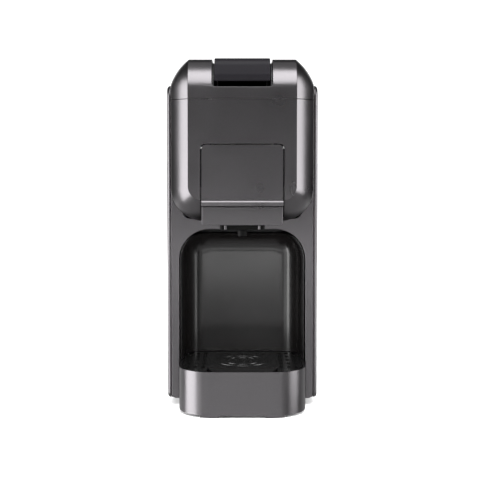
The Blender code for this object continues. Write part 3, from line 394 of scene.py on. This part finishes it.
def add_flap(paint):
    """The flap with its hinge barrel, and a lip that leans back and rounds over at its top."""
    lip_front, lip_foot = FLAP_LOW.y, FLAP_LOW.z
    back = HEAD_FRONT + 2.4 * MM
    corner = DOORWAY_CORNER - 0.6 * MM
    outline = rounded((FLAP_LOW.x, FLAP_HIGH.x), (lip_foot, FLAP_HIGH.z), (0, 0, corner, corner), 12)
    flap = raw("flap_panel", prism(outline, "Y", HEAD_FRONT, back))
    lean, radius, straight = math.radians(12), 2.2 * MM, 2.7 * MM
    turn_y = lip_front + straight * math.sin(lean) + radius * math.cos(lean)
    turn_z = lip_foot + 0.4 * MM + straight * math.cos(lean) - radius * math.sin(lean)
    bar = [(back - 0.6 * MM, lip_foot), (lip_front + 0.3 * MM, lip_foot), (lip_front, lip_foot + 0.4 * MM)]
    bar += arc(turn_y, turn_z, radius, 180 - math.degrees(lean), 115, 8)
    bar += [(back - 0.6 * MM, lip_foot + 5.6 * MM)]
    join(flap, prism(bar, "X", FLAP_LOW.x, FLAP_HIGH.x))
    barrel, barrel_half = 2.2 * MM, 28 * MM
    axis = (0, HEAD_FRONT + 2.8 * MM, FLAP_HIGH.z - 2.3 * MM)
    barrel_form = [(0, -barrel_half), (barrel, -barrel_half), (barrel, barrel_half), (0, barrel_half)]
    join(flap, turned(barrel_form, "X", axis, 32))
    cut(flap, prism(disc(axis[1], axis[2], 1.2 * MM, 20), "X", -FAR, FAR))
    finished(flap, "flap", paint, 0.15 * MM, 30, 28, 3, stands_for=["front_flap"])


def add_outlet(paint, plastic):
    inset = 2 * MM
    corner = 2.4 * MM
    outline = rounded((OUTLET_LOW.x, OUTLET_HIGH.x), (OUTLET_LOW.z, OUTLET_HIGH.z), (corner, corner, 0, 0), 6)
    cover = raw("outlet_cover", prism(outline, "Y", OUTLET_LOW.y, OUTLET_HIGH.y))
    cut(cover, box((OUTLET_LOW.x + inset, OUTLET_HIGH.x - inset), (OUTLET_LOW.y + inset, FAR),
                   (OUTLET_LOW.z + inset, FAR)))
    half = SPOUT_HIGH.x + 2.2 * MM
    cut(cover, box((-half - 0.5 * MM, half + 0.5 * MM), (SPOUT_LOW.y - 0.6 * MM, SPOUT_HIGH.y + 0.6 * MM),
                   (0, OUTLET_LOW.z + 2 * inset)))
    finished(cover, "housing", paint, 0.4 * MM, 30, 28, 3, stands_for=["outlet_housing"])

    middle = (SPOUT_LOW.y + SPOUT_HIGH.y) / 2
    foot, tip = OUTLET_LOW.z - 4 * MM, SPOUT_LOW.z
    plan = rounded((-half, half), (SPOUT_LOW.y, SPOUT_HIGH.y), [2 * MM] * 4, 5)
    block = raw("spout_block", prism(plan, "Z", foot, SPOUT_HIGH.z))
    cut(block, box((-half + 2 * MM, half - 2 * MM), (SPOUT_LOW.y + 1.6 * MM, SPOUT_HIGH.y - 1.6 * MM),
                   (OUTLET_LOW.z, FAR)))
    cone = [(0, tip), (3 * MM, tip), (3.4 * MM, tip + 0.4 * MM), (4.2 * MM, foot - 1 * MM), (5.6 * MM, foot),
            (5.6 * MM, foot + 2 * MM), (0, foot + 2 * MM)]
    join(block, turned(cone, "Z", (0, middle, 0), 40))
    cut(block, prism(disc(0, middle, 1.8 * MM, 32), "Z", 0, OUTLET_LOW.z + 1 * MM))
    finished(block, "housing", plastic, 0.25 * MM, 35, 30, stands_for=["coffee_spout"])
    post_radius, post_foot, post_top = 0.9 * MM, foot + 0.3 * MM, foot + 3.2 * MM
    post = [(0, post_foot), (post_radius, post_foot), (post_radius, post_top), (0, post_top)]
    for side, name in ((-1, "spout_guide_left"), (1, "spout_guide_right")):
        x = side * (half - 4.4 * MM)
        finished(raw(name, turned(post, "Z", (x, SPOUT_LOW.y - 0.1 * MM, 0), 20)), "housing", paint, 0)


# ---------------------------------------------------------------- casing
def panel_form(low, high, steps=9):
    """A side panel: a rounded plate whose outer face turns over into its rim."""
    inner, outer = (low.x, high.x) if high.x > 0 else (high.x, low.x)
    radius = abs(outer - inner) - 0.3 * MM
    places = [(inner, 0)]
    for i in range(steps + 1):
        turn = math.pi / 2 * i / steps
        rise = radius * (1 - math.sin(turn))
        places.append((outer - math.copysign(rise, outer), radius * (1 - math.cos(turn))))
    rings = []
    for x, inset in places:
        corners = [corner * MM - inset for corner in (5, 9, 9, 9)]
        outline = rounded((low.y + inset, high.y - inset), (low.z + inset, high.z - inset), corners, 10)
        rings.append((outline, x))
    return loft(rings, "X")


def add_casing(paint, plastic):
    for name in ("left_side_panel", "right_side_panel"):
        low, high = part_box(name)
        skin = raw(name.replace("side_panel", "panel_skin"), panel_form(low, high))
        finished(skin, "housing", paint, 0.2 * MM, 40, 35, stands_for=[name])

    outline = rounded((BEZEL_LOW.x, BEZEL_HIGH.x), (BEZEL_LOW.z, BEZEL_HIGH.z), (4 * MM, 4 * MM, 0, 0), 8)
    bezel = raw("bezel_front", prism(outline, "Y", BEZEL_LOW.y, BEZEL_HIGH.y))
    arch = rounded((-ARCH_HALF, ARCH_HALF), (-FAR, ARCH_TOP), (0, 0, ARCH_RADIUS, ARCH_RADIUS), 20)
    cut(bezel, prism(arch, "Y", -FAR, 0))
    window = rounded((-48 * MM, 48 * MM), (153 * MM, 240 * MM), [6 * MM] * 4, 6)
    cut(bezel, prism(window, "Y", -FAR, 0))
    finished(bezel, "housing", paint, 0.5 * MM, 35, 30, 3, stands_for=["front_bezel"])

    low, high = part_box("base_pan")
    outline = rounded((low.x, high.x), (low.y, high.y), (0, 0, 18 * MM, 18 * MM), 12)
    pan = raw("base_plate", prism(outline, "Z", low.z, high.z))
    vent_half, vent_long = 1.2 * MM, 12 * MM
    radii = [vent_half * 0.99] * 4
    vents = bmesh.new()
    for row in range(9):
        y = (10 + 6 * row) * MM
        for x in (-16 * MM, 16 * MM):
            vent = rounded((x - vent_long, x + vent_long), (y - vent_half, y + vent_half), radii, 4)
            prism(vent, "Z", 0, FAR, vents)
    cut(pan, vents)
    holes = bmesh.new()
    for i in range(4):
        x, y, _ = upright_axis(f"base_screw_{i + 1}")
        prism(disc(x, y, 2 * MM, 24), "Z", 0, FAR, holes)
    cut(pan, holes)
    finished(pan, "housing", plastic, 0.4 * MM, 35, 30, stands_for=["base_pan"])


def add_feet(rubber):
    for name in ("foot_front_left", "foot_front_right", "foot_rear_left", "foot_rear_right"):
        x, y, wide = upright_axis(name)
        top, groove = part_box(name)[1].z, 0.5 * MM
        profile = [(0, groove), (2.2 * MM, groove)]
        for radius in (2.7 * MM, 4.3 * MM):
            profile += [(radius, 0), (radius + 0.9 * MM, 0)]
            profile += [(radius + 1.1 * MM, groove), (radius + 1.5 * MM, groove)]
        profile += [(6.1 * MM, 0), (wide - 1.6 * MM, 0), (wide - 0.9 * MM, 0.8 * MM), (wide, top), (0, top)]
        pad = raw(name.replace("foot", "pad"), turned(profile, "Z", (x, y, 0), 48))
        finished(pad, "housing", rubber, 0, stands_for=[name])


# ---------------------------------------------------------------- tray, grid and niche
TRAY_CORNER = 27 * MM
LEDGE_HALF, LEDGE_DEPTH = 27.5 * MM, 17 * MM
NICHE_BACK = TRAY_LOW.y + 90 * MM
NICHE_CORNER = 18 * MM
NICHE_ROUND = 20 * MM
NICHE_WALL = 1.8 * MM


def tray_plan(inset, rear):
    corner = TRAY_CORNER - inset
    half = TRAY_HIGH.x - inset
    return rounded((-half, half), (TRAY_LOW.y + inset, rear), (corner, corner, 0, 0), 24)


def ledge_plan(grow):
    """The step in front of the grid: wide at its back, with a side that slopes in towards the front."""
    front, rear = TRAY_LOW.y + 1 * MM, TRAY_LOW.y + LEDGE_DEPTH + grow
    half = LEDGE_HALF + grow
    return [(-half + 5 * MM, front), (half - 5 * MM, front), (half, rear), (-half, rear)]


def add_tray(paint):
    pad_top = 2.2 * MM
    tray = raw("tray_body", prism(tray_plan(0, NICHE_BACK), "Z", pad_top, TRAY_HIGH.z))
    floor, tail_half, tail_thick = 9.9 * MM, 46 * MM, 4.1 * MM
    join(tray, box((-tail_half, tail_half), (NICHE_BACK - 10 * MM, TRAY_HIGH.y), (floor, floor + tail_thick)))
    cut(tray, box((-FAR, FAR), (BEZEL_LOW.y - 1 * MM, FAR), (0, floor)))
    wall = 2 * MM
    cut(tray, prism(tray_plan(wall, NICHE_BACK - 3 * MM), "Z", GRID_LOW.z - 0.3 * MM, FAR))
    cut(tray, prism(tray_plan(2 * wall, NICHE_BACK - 2 * wall), "Z", floor + 2 * MM, FAR))
    join(tray, prism(ledge_plan(0), "Z", TRAY_HIGH.z - 4 * MM, TRAY_HIGH.z))
    pad_plan = [(18, 0.4), (24, 0.4), (33, 2.3), (33, 14), (18, 14)]
    for side in (-1, 1):
        outline = [(side * u * MM, TRAY_LOW.y + v * MM) for u, v in pad_plan]
        join(tray, prism(outline, "Z", TRAY_LOW.z, 2 * pad_top))
    finished(tray, "drawer", paint, 0.5 * MM, 40, 34, 3, stands_for=["drip_tray"])


def add_grid(plastic):
    clear = 2.6 * MM
    corner, rear_corner = TRAY_CORNER - clear, NICHE_CORNER - clear
    corners = (corner, corner, rear_corner, rear_corner)
    plan = rounded((GRID_LOW.x, GRID_HIGH.x), (GRID_LOW.y, GRID_HIGH.y), corners, 24)
    grid = raw("grid_plate", prism(plan, "Z", GRID_LOW.z, GRID_HIGH.z))
    front_limit = TRAY_LOW.y + 5 * MM
    recess = [(x, y if y > front_limit else -FAR) for x, y in ledge_plan(0.5 * MM)]
    cut(grid, prism(recess, "Z", 0, FAR))
    half_wide, half_long, first_x, first_y = 1.6 * MM, 4.5 * MM, 31 * MM, TRAY_LOW.y + 21 * MM
    radii = [half_wide * 0.99] * 4
    slots = bmesh.new()
    for side in (-1, 1):
        for column in range(3):
            x = side * (first_x + 6 * MM * column)
            for row in range(5):
                y = first_y + 14.5 * MM * row
                slot = rounded((x - half_wide, x + half_wide), (y - half_long, y + half_long), radii, 6)
                prism(slot, "Z", 0, FAR, slots)
    cut(grid, slots)
    finished(grid, "grid", plastic, 0.75 * MM, 35, 30, 4, stands_for=["drip_grid"])

    ring = bmesh.new()
    top = GRID_HIGH.z
    middle = TRAY_LOW.y + 46 * MM
    foot_half, crown_half = 0.5 * MM, 0.3 * MM
    ring_foot, crown = top - 0.3 * MM, top + 0.25 * MM
    for radius in (21 * MM, 14 * MM):
        profile = [(radius - foot_half, ring_foot), (radius + foot_half, ring_foot)]
        profile += [(radius + crown_half, crown), (radius - crown_half, crown)]
        turned(profile, "Z", (0, middle, 0), 96, ring)
    finished(raw("cup_rings", ring), "grid", plastic, 0)


def niche_hollow(clear, steps=14):
    """The niche's inner form: an arch that closes in on its back wall along a round edge."""
    inset = clear + NICHE_WALL
    half, top, corner = NICHE_HIGH.x - NICHE_WALL, ARCH_TOP - inset, ARCH_RADIUS - inset
    start = NICHE_HIGH.y - NICHE_WALL - NICHE_ROUND
    flare = 1.5 * MM
    places = [(-FAR, -flare), (NICHE_LOW.y, -flare), (NICHE_LOW.y + 9 * MM, 0)]
    for i in range(steps + 1):
        turn = math.pi / 2 * i / steps
        places.append((start + NICHE_ROUND * math.sin(turn), NICHE_ROUND * (1 - math.cos(turn))))
    rings = []
    for y, drawn_in in places:
        side, left = half - drawn_in, corner - drawn_in
        rings.append((rounded((-side, side), (-FAR, top - drawn_in), (0, 0, left, left), 16), y))
    return loft(rings, "Y")


def add_niche(gloss):
    clear = 0.8 * MM
    corners = (0, 0, NICHE_CORNER, NICHE_CORNER)
    plan = rounded((NICHE_LOW.x, NICHE_HIGH.x), (NICHE_LOW.y, NICHE_HIGH.y), corners, 20)
    wall = raw("niche_skin", prism(plan, "Z", NICHE_LOW.z, NICHE_HIGH.z))
    cut(wall, niche_hollow(clear))
    half, corner = ARCH_HALF - clear, ARCH_RADIUS - clear
    arch = rounded((-half, half), (0, ARCH_TOP - clear), (0, 0, corner, corner), 20)
    keep(wall, prism(arch, "Y", -FAR, FAR))
    finished(wall, "drawer", gloss, 0.1 * MM, 50, 34, stands_for=["niche_wall"])


# ---------------------------------------------------------------- rear
VALVE_Y = (VALVE_LOW.y + VALVE_HIGH.y) / 2


def rear_plan(inset, front, steps=16):
    corner, small = 20 * MM - inset, 3 * MM
    half, back = TANK_HIGH.x - inset, TANK_HIGH.y - inset
    return rounded((-half, half), (front + inset, back), (small, small, corner, corner), steps)


def add_tank(clear_plastic, paint, mark):
    wall = 2.2 * MM
    tank = raw("tank_wall", prism(rear_plan(0, TANK_LOW.y), "Z", TANK_LOW.z, TANK_HIGH.z))
    cut(tank, prism(rear_plan(wall, TANK_LOW.y), "Z", TANK_LOW.z + 4 * MM, FAR))
    cut(tank, prism(disc(0, VALVE_Y, 5 * MM), "Z", 0, TANK_LOW.z + 18 * MM))
    finished(tank, "tank", clear_plastic, 0.5 * MM, 40, 34, stands_for=["water_tank"])
    back = TANK_HIGH.y
    for i, height in enumerate((0.18, 0.36, 0.54, 0.72, 0.88)):
        z = TANK_LOW.z + (TANK_HIGH.z - TANK_LOW.z) * height
        half = (9 if i in (0, 4) else 5) * MM
        outline = rounded((-half, half), (z - 0.4 * MM, z + 0.4 * MM), [0.38 * MM] * 4, 4)
        line = prism(outline, "Y", back - 0.4 * MM, back + 0.3 * MM)
        finished(raw(f"level_line_{i + 1}", line), "tank", mark, 0)

    thick = 2.4 * MM
    under = TANK_LID_HIGH.z - thick
    rim_foot = TANK_LID_LOW.z
    lid = raw("tank_cap", prism(rear_plan(0, TANK_LID_LOW.y), "Z", TANK_HIGH.z + GAP, TANK_LID_HIGH.z))
    cut(lid, prism(rear_plan(thick, TANK_LID_LOW.y), "Z", 0, under))
    finger_notch = rounded((-12 * MM, 12 * MM), (0, TANK_HIGH.z + GAP + 3.2 * MM), (0, 0, 2 * MM, 2 * MM), 6)
    cut(lid, prism(finger_notch, "Y", back - 5 * MM, FAR))
    rim = wall + 0.5 * MM
    join(lid, prism(rear_plan(rim, TANK_LID_LOW.y), "Z", rim_foot, TANK_LID_HIGH.z - 1 * MM))
    cut(lid, prism(rear_plan(rim + 1.8 * MM, TANK_LID_LOW.y), "Z", 0, under))
    grips = bmesh.new()
    for i in range(5):
        y = back - (12 + 3 * i) * MM
        groove = rounded((-14 * MM, 14 * MM), (y - 0.7 * MM, y + 0.7 * MM), [0.69 * MM] * 4, 5)
        prism(groove, "Z", TANK_LID_HIGH.z - 0.6 * MM, FAR, grips)
    cut(lid, grips)
    finished(lid, "tank_cover", paint, 0.5 * MM, 40, 34, 3, stands_for=["tank_lid"])


def add_rear(paint, label):
    low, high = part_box("rear_housing")
    housing = raw("rear_cover", prism(rear_plan(0, low.y), "Z", low.z, high.z))
    cut(housing, prism(rear_plan(2.4 * MM, low.y), "Z", 0, high.z - 2.6 * MM))
    for name in ("power_inlet", "switch_frame"):
        part_low, part_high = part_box(name)
        span_x, span_z = (part_low.x - GAP, part_high.x + GAP), (part_low.z - GAP, part_high.z + GAP)
        cut(housing, box(span_x, (part_low.y, FAR), span_z))
    cut(housing, prism(disc(0, VALVE_Y, 8 * MM, 40), "Z", high.z - 20 * MM, FAR))
    back = high.y
    vents = bmesh.new()
    for i in range(7):
        x = (-12 + 4 * i) * MM
        vent = rounded((x - 0.8 * MM, x + 0.8 * MM), (47 * MM, 57 * MM), [0.79 * MM] * 4, 4)
        prism(vent, "Y", back - 5 * MM, FAR, vents)
    cut(housing, vents)
    finished(housing, "housing", paint, 0.5 * MM, 40, 34, 3, stands_for=["rear_housing"])

    outline = rounded((-11 * MM, 8 * MM), (20 * MM, 42 * MM), [1.2 * MM] * 4, 5)
    plate = raw("rear_plate", prism(outline, "Y", back - 0.4 * MM, back + 0.25 * MM))
    finished(plate, "housing", label, 0)


def add_inlet(plastic, steel):
    low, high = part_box("power_inlet")
    wall = 2.5 * MM
    outline = rounded((low.x, high.x), (low.z, high.z), [1 * MM] * 4, 4)
    socket = raw("inlet_socket", prism(outline, "Y", low.y, high.y))
    radii = (1 * MM, 1 * MM, 5 * MM, 5 * MM)
    inner = rounded((low.x + wall, high.x - wall), (low.z + wall, high.z - wall), radii, 1)
    cut(socket, prism(inner, "Y", high.y - 15 * MM, FAR))
    middle_x, middle_z = (low.x + high.x) / 2, (low.z + high.z) / 2
    plug_seat = rounded((middle_x - 8.4 * MM, middle_x + 8.4 * MM), (middle_z - 5.2 * MM, middle_z + 5 * MM),
                        (0.8 * MM, 0.8 * MM, 3 * MM, 3 * MM), 1)
    join(socket, prism(plug_seat, "Y", high.y - 16 * MM, high.y - 3 * MM))
    half_x, half_z, room = 1 * MM, 2 * MM, 0.3 * MM
    reach_x, reach_z = half_x + room, half_z + room
    blades = [(-5.04, -0.8), (0, 1.6), (5.04, -0.8)]
    for i, (x, z) in enumerate(blades):
        at_x, at_z = middle_x + x * MM, middle_z + z * MM
        slit_x, slit_z = (at_x - reach_x, at_x + reach_x), (at_z - reach_z, at_z + reach_z)
        cut(socket, box(slit_x, (high.y - 13 * MM, FAR), slit_z))
        depth = (high.y - 13.5 * MM, high.y - 4.5 * MM)
        blade = box((at_x - half_x, at_x + half_x), depth, (at_z - half_z, at_z + half_z))
        finished(raw(f"inlet_blade_{i + 1}", blade), "housing", steel, 0.25 * MM)
    finished(socket, "housing", plastic, 0.25 * MM, 35, 30, stands_for=["power_inlet"])


def add_switch(plastic, mark):
    low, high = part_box("switch_frame")
    wall = 1.6 * MM
    outline = rounded((low.x, high.x), (low.z, high.z), [1 * MM] * 4, 4)
    rim = raw("switch_rim", prism(outline, "Y", low.y, high.y))
    cut(rim, box((low.x + wall, high.x - wall), (high.y - 10 * MM, FAR), (low.z + wall, high.z - wall)))
    finished(rim, "housing", plastic, 0.25 * MM, 35, 30, stands_for=["switch_frame"])
    key_low, key_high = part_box("power_switch")
    middle = (key_low.z + key_high.z) / 2
    back = key_high.y
    heel = key_low.y
    side = [(heel, middle - 3.5 * MM), (back - 1 * MM, key_low.z), (back - 0.9 * MM, middle - 0.6 * MM),
            (back - 0.6 * MM, middle + 0.6 * MM), (back, key_high.z), (heel, middle + 3.4 * MM)]
    rocker = raw("switch_rocker", prism(side, "X", key_low.x, key_high.x))
    finished(rocker, "power_key", plastic, 0.3 * MM, 20, 25, 3, stands_for=["power_switch"])
    at_x, at_y, at_z = (key_low.x + key_high.x) / 2 - 4 * MM, back - 0.35 * MM, middle + 2.6 * MM
    half_wide, half_tall = 0.35 * MM, 1.2 * MM
    span_x, span_z = (at_x - half_wide, at_x + half_wide), (at_z - half_tall, at_z + half_tall)
    bar = box(span_x, (at_y - 0.4 * MM, at_y + 0.25 * MM), span_z)
    finished(raw("switch_mark", bar), "power_key", mark, 0)


# ---------------------------------------------------------------- materials
class Surface:
    """A material's node tree, with short calls that add nodes and feed their sockets."""

    def __init__(self, name):
        self.material = bpy.data.materials.new(name)
        self.material.use_nodes = True
        self.tree = self.material.node_tree
        self.shader = self.tree.nodes["Principled BSDF"]
        self.where = self.add("ShaderNodeTexCoord").outputs["Object"]

    def feed(self, socket, value):
        if isinstance(value, bpy.types.NodeSocket):
            self.tree.links.new(value, socket)
        else:
            socket.default_value = value

    def add(self, kind, inputs=None, **settings):
        made = self.tree.nodes.new(kind)
        for key, value in settings.items():
            setattr(made, key, value)
        for key, value in (inputs or {}).items():
            self.feed(made.inputs[key], value)
        return made

    def stretched(self, scale):
        return self.add("ShaderNodeMapping", {"Vector": self.where, "Scale": scale}).outputs["Vector"]

    def noise(self, scale, detail=2.0, where=None):
        inputs = {"Vector": where or self.where, "Scale": scale, "Detail": detail}
        return self.add("ShaderNodeTexNoise", inputs).outputs["Fac"]

    def cells(self, scale):
        made = self.add("ShaderNodeTexVoronoi", {"Vector": self.where, "Scale": scale})
        return made.outputs["Distance"]

    def spread(self, value, low, high, start=0.3, end=0.7):
        """Maps a value between start and end to the range from low to high."""
        inputs = {"Value": value, "From Min": start, "From Max": end, "To Min": low, "To Max": high}
        return self.add("ShaderNodeMapRange", inputs).outputs["Result"]

    def mix(self, share, first, second):
        made = self.add("ShaderNodeMix", data_type="RGBA")
        self.feed(made.inputs["Factor"], share)
        self.feed(made.inputs[6], first)
        self.feed(made.inputs[7], second)
        return made.outputs[2]

    def edges(self, reach, strength):
        """A mask that is strength on worn edges and 0 on flat ground."""
        softened = self.add("ShaderNodeBevel", {"Radius": reach}, samples=4).outputs["Normal"]
        plain = self.add("ShaderNodeNewGeometry").outputs["Normal"]
        inputs = {0: softened, 1: plain}
        turn = self.add("ShaderNodeVectorMath", inputs, operation="DOT_PRODUCT").outputs["Value"]
        return self.spread(turn, strength, 0, 0.75, 0.98)

    def bump(self, height, distance, strength=1.0):
        inputs = {"Height": height, "Distance": distance, "Strength": strength}
        self.feed(self.shader.inputs["Normal"], self.add("ShaderNodeBump", inputs).outputs["Normal"])


def grey(level):
    return (level, level, level)


def shade(colour, factor):
    return (*(min(1.0, part * factor) for part in colour), 1)


def finish(name, colour, rough, metallic=0.0, grain=900, relief=0.01 * MM, tone=0.08, patch=30, wear=0.2,
           stretch=(1, 1, 1), **fixed):
    """A moulded, cast or painted finish: grain, slow patches of gloss, and edges rubbed a little lighter.

    rough is the lowest and highest roughness, grain and patch are counts per metre, and fixed values go
    straight to the shader's own sockets.
    """
    s = Surface(name)
    fine = s.noise(grain, 3, s.stretched(stretch))
    broad = s.noise(patch, 2)
    body = s.mix(s.spread(fine, 0, 1), shade(colour, 1 - tone), shade(colour, 1 + tone))
    body = s.mix(s.spread(broad, 0, 0.5), body, shade(colour, 1 + tone))
    if wear:
        body = s.mix(s.edges(0.5 * MM, wear), body, shade(colour, 1.7))
    s.feed(s.shader.inputs["Base Color"], body)
    s.feed(s.shader.inputs["Roughness"], s.spread(broad, *rough))
    s.bump(fine, relief)
    s.shader.inputs["Metallic"].default_value = metallic
    for socket, value in fixed.items():
        s.shader.inputs[socket].default_value = value
    return s.material


def satin_paint(name, colour, rough, metallic):
    """Metallic paint: fine flakes, a faint orange peel, and slow changes of gloss."""
    s = Surface(name)
    flakes = s.cells(2600)
    broad = s.noise(24, 2)
    body = s.mix(s.spread(flakes, 0, 1, 0.1, 0.6), shade(colour, 1.16), shade(colour, 0.9))
    body = s.mix(s.spread(broad, 0, 0.4), body, shade(colour, 1.06))
    body = s.mix(s.edges(0.4 * MM, 0.25), body, shade(colour, 1.6))
    s.feed(s.shader.inputs["Base Color"], body)
    s.feed(s.shader.inputs["Roughness"], s.spread(broad, *rough))
    s.bump(s.noise(420, 2), 0.012 * MM, 0.5)
    s.shader.inputs["Metallic"].default_value = metallic
    return s.material


def make_looks():
    return {
        "gunmetal": satin_paint("satin_gunmetal", GUNMETAL, GUNMETAL_ROUGH, GUNMETAL_METALLIC),
        "lever": finish("satin_black_lever", (0.006, 0.0055, 0.007), (0.4, 0.46), grain=1400,
                        relief=0.006 * MM, **{"Specular IOR Level": 0.07}),
        "black": finish("textured_black", (0.012, 0.012, 0.013), (0.46, 0.56), grain=1500,
                        relief=0.03 * MM, **{"Specular IOR Level": 0.3}),
        "dull": finish("dull_black", grey(0.002), (0.45, 0.55), grain=1500, relief=0.02 * MM, wear=0.1,
                       **{"Specular IOR Level": 0.07}),
        "grid": finish("gloss_black_grid", grey(0.004), (0.2, 0.27), grain=1300, relief=0.004 * MM),
        "gloss": finish("gloss_black", (0.004, 0.0035, 0.0035), (0.2, 0.26), grain=300, relief=0.002 * MM,
                        tone=0.02, patch=14, wear=0.1),
        "steel": finish("brushed_steel", grey(0.62), (0.2, 0.34), 1.0, grain=260, relief=0.004 * MM,
                        stretch=(1, 12, 12)),
        "chrome": finish("bright_trim", (0.75, 0.75, 0.76), (0.08, 0.16), 1.0, grain=500,
                         relief=0.001 * MM, wear=0),
        "cast": finish("cast_aluminium", grey(0.52), (0.42, 0.6), 1.0, grain=700, relief=0.12 * MM),
        "rubber": finish("soft_rubber", grey(0.018), (0.7, 0.9), grain=1600, relief=0.05 * MM, wear=0.1),
        "natural": finish("natural_nylon", (0.66, 0.65, 0.6), (0.4, 0.52), grain=900, relief=0.02 * MM,
                          **{"Subsurface Weight": 0.1, "Subsurface Scale": 0.002}),
        "silicone": finish("silicone", (0.68, 0.67, 0.63), (0.5, 0.62), grain=700, relief=0.02 * MM, wear=0,
                           **{"Subsurface Weight": 0.15, "Subsurface Scale": 0.003}),
        "board": finish("circuit_board", (0.02, 0.13, 0.05), (0.35, 0.5), grain=220, relief=0.05 * MM,
                        tone=0.3),
        "smoke": finish("smoked_clear", (0.16, 0.17, 0.18), (0.05, 0.1), grain=300, relief=0.002 * MM,
                        tone=0.03, patch=14, wear=0, **{"Transmission Weight": 0.75, "IOR": 1.5}),
        "mark": finish("pale_print", grey(0.55), (0.4, 0.5), grain=900, relief=0.004 * MM, wear=0),
        "label": finish("plain_label", grey(0.3), (0.3, 0.4), 0.8, grain=600, relief=0.004 * MM, wear=0),
    }


def look_of(name):
    """The look of a CAD node that stays as it is."""
    groups = {
        "gunmetal": ["body_shell"],
        "steel": ["screw", "shaft", "cam_plate", "pin", "injector_plate"],
        "rubber": ["pump_bracket", "tank_socket"],
        "cast": ["thermoblock"],
        "natural": ["capsule_cage", "tank_valve", "flow_meter"],
        "board": ["control_board"],
        "silicone": ["injector_seal", "hose"],
    }
    if name == "pump":
        return "cast"
    for look, words in groups.items():
        if any(word in name for word in words):
            return look
    return "black"


def dress_nodes(looks):
    for name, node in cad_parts.items():
        node.data.materials.clear()
        node.data.materials.append(looks[look_of(name)])


# ---------------------------------------------------------------- camera, floor and light
def add_camera():
    data = bpy.data.cameras.new("camera")
    data.sensor_width = 36
    data.lens = LENS
    data.shift_x = SHIFT_X
    data.shift_y = SHIFT_Y
    camera = link("camera", data)
    camera.location = (0, TRAY_LOW.y - CAMERA_DISTANCE, CAMERA_HEIGHT)
    camera.rotation_euler = (math.pi / 2 - LOOK_DOWN, 0, 0)
    bpy.context.scene.camera = camera


def add_light(name, azimuth, height, distance, width, tall, power):
    """A soft box that faces the machine and that the camera doesn't see.

    azimuth is in degrees from the front (-Y), positive towards +X. height and distance are in metres, width
    and tall are the box's own size, and power is in watts.
    """
    data = bpy.data.lights.new(name, "AREA")
    data.shape = "RECTANGLE"
    data.size, data.size_y = width, tall
    data.energy = power
    light = link(name, data)
    turn = math.radians(azimuth)
    light.location = (distance * math.sin(turn), HEAD_FRONT - distance * math.cos(turn), height)
    aim = Vector((0, HEAD_FRONT, 0.17))
    light.visible_camera = False
    light.rotation_euler = (aim - light.location).to_track_quat("-Z", "Y").to_euler()


def add_floor():
    """A pale floor. Gloss sees the lights through it, so the machine's lower parts are lit like the rest."""
    reach = 30
    bm = bmesh.new()
    bmesh.ops.create_grid(bm, x_segments=1, y_segments=1, size=reach)
    floor = raw("floor", bm)
    pale = finish("pale_floor", grey(FLOOR_LEVEL), (0.6, 0.7), grain=200, relief=0.01 * MM, tone=0.01,
                  wear=0, **{"Specular IOR Level": 0.0})
    floor.data.materials.append(pale)
    floor.visible_glossy = False
    floor.visible_shadow = False


def add_world():
    world = bpy.data.worlds.new("studio")
    world.use_nodes = True
    background = world.node_tree.nodes["Background"]
    background.inputs["Color"].default_value = (1, 1, 1, 1)
    background.inputs["Strength"].default_value = WORLD_STRENGTH
    world.cycles_visibility.glossy = False
    bpy.context.scene.world = world
    bpy.context.scene.view_settings.view_transform = "Standard"


def add_lights():
    """Tall boxes at the sides, fills at front and rear, boxes above, and strips near and below the floor."""
    add_light("left_box", -80, 0.1, 1.0, 0.8, 1.2, 28)
    add_light("left_front", -45, 0.1, 1.4, 0.3, 1.2, 2.8)
    add_light("right_box", 80, 0.3, 1.0, 0.62, 0.98, 16)
    add_light("right_front", 40, 0.1, 1.4, 0.4, 1.2, 1)
    add_light("front_fill", 0, 0.45, 2.2, 2.2, 0.9, 1.3)
    add_light("front_top", 0, 1.15, 0.7, 0.8, 1.07, 26)
    add_light("niche_glow", 0, 0.045, 0.72, 0.9, 0.04, 1)
    add_light("tray_glow", 0, -0.215, 0.85, 1.2, 0.12, 1.4)
    add_light("tray_left", -140, -0.2, 1.0, 0.9, 0.24, 0.5)
    add_light("tray_right", 140, -0.2, 1.0, 0.9, 0.24, 0.35)
    add_light("back_glow", 180, 0.3, 1.1, 1.2, 0.7, 4)
    add_light("overhead", 0, 1.9, 0.0, 2.4, 2.4, 10)
    add_light("floor_bounce", 0, -0.6, 0.0, 3, 3, 20)


add_camera()
add_floor()
add_world()
add_lights()
looks = make_looks()
dress_nodes(looks)
add_head(looks["gunmetal"])
add_lid(looks["gunmetal"], looks["chrome"])
add_button("espresso_button", "espresso_key", looks["black"], looks["mark"])
add_button("lungo_button", "lungo_key", looks["black"], looks["mark"])
add_lever(looks["lever"])
add_flap(looks["gunmetal"])
add_outlet(looks["gunmetal"], looks["dull"])
add_casing(looks["gunmetal"], looks["black"])
add_feet(looks["rubber"])
add_tray(looks["gunmetal"])
add_grid(looks["grid"])
add_niche(looks["gloss"])
add_tank(looks["smoke"], looks["gunmetal"], looks["mark"])
add_rear(looks["gunmetal"], looks["label"])
add_inlet(looks["black"], looks["steel"])
add_switch(looks["black"], looks["mark"])
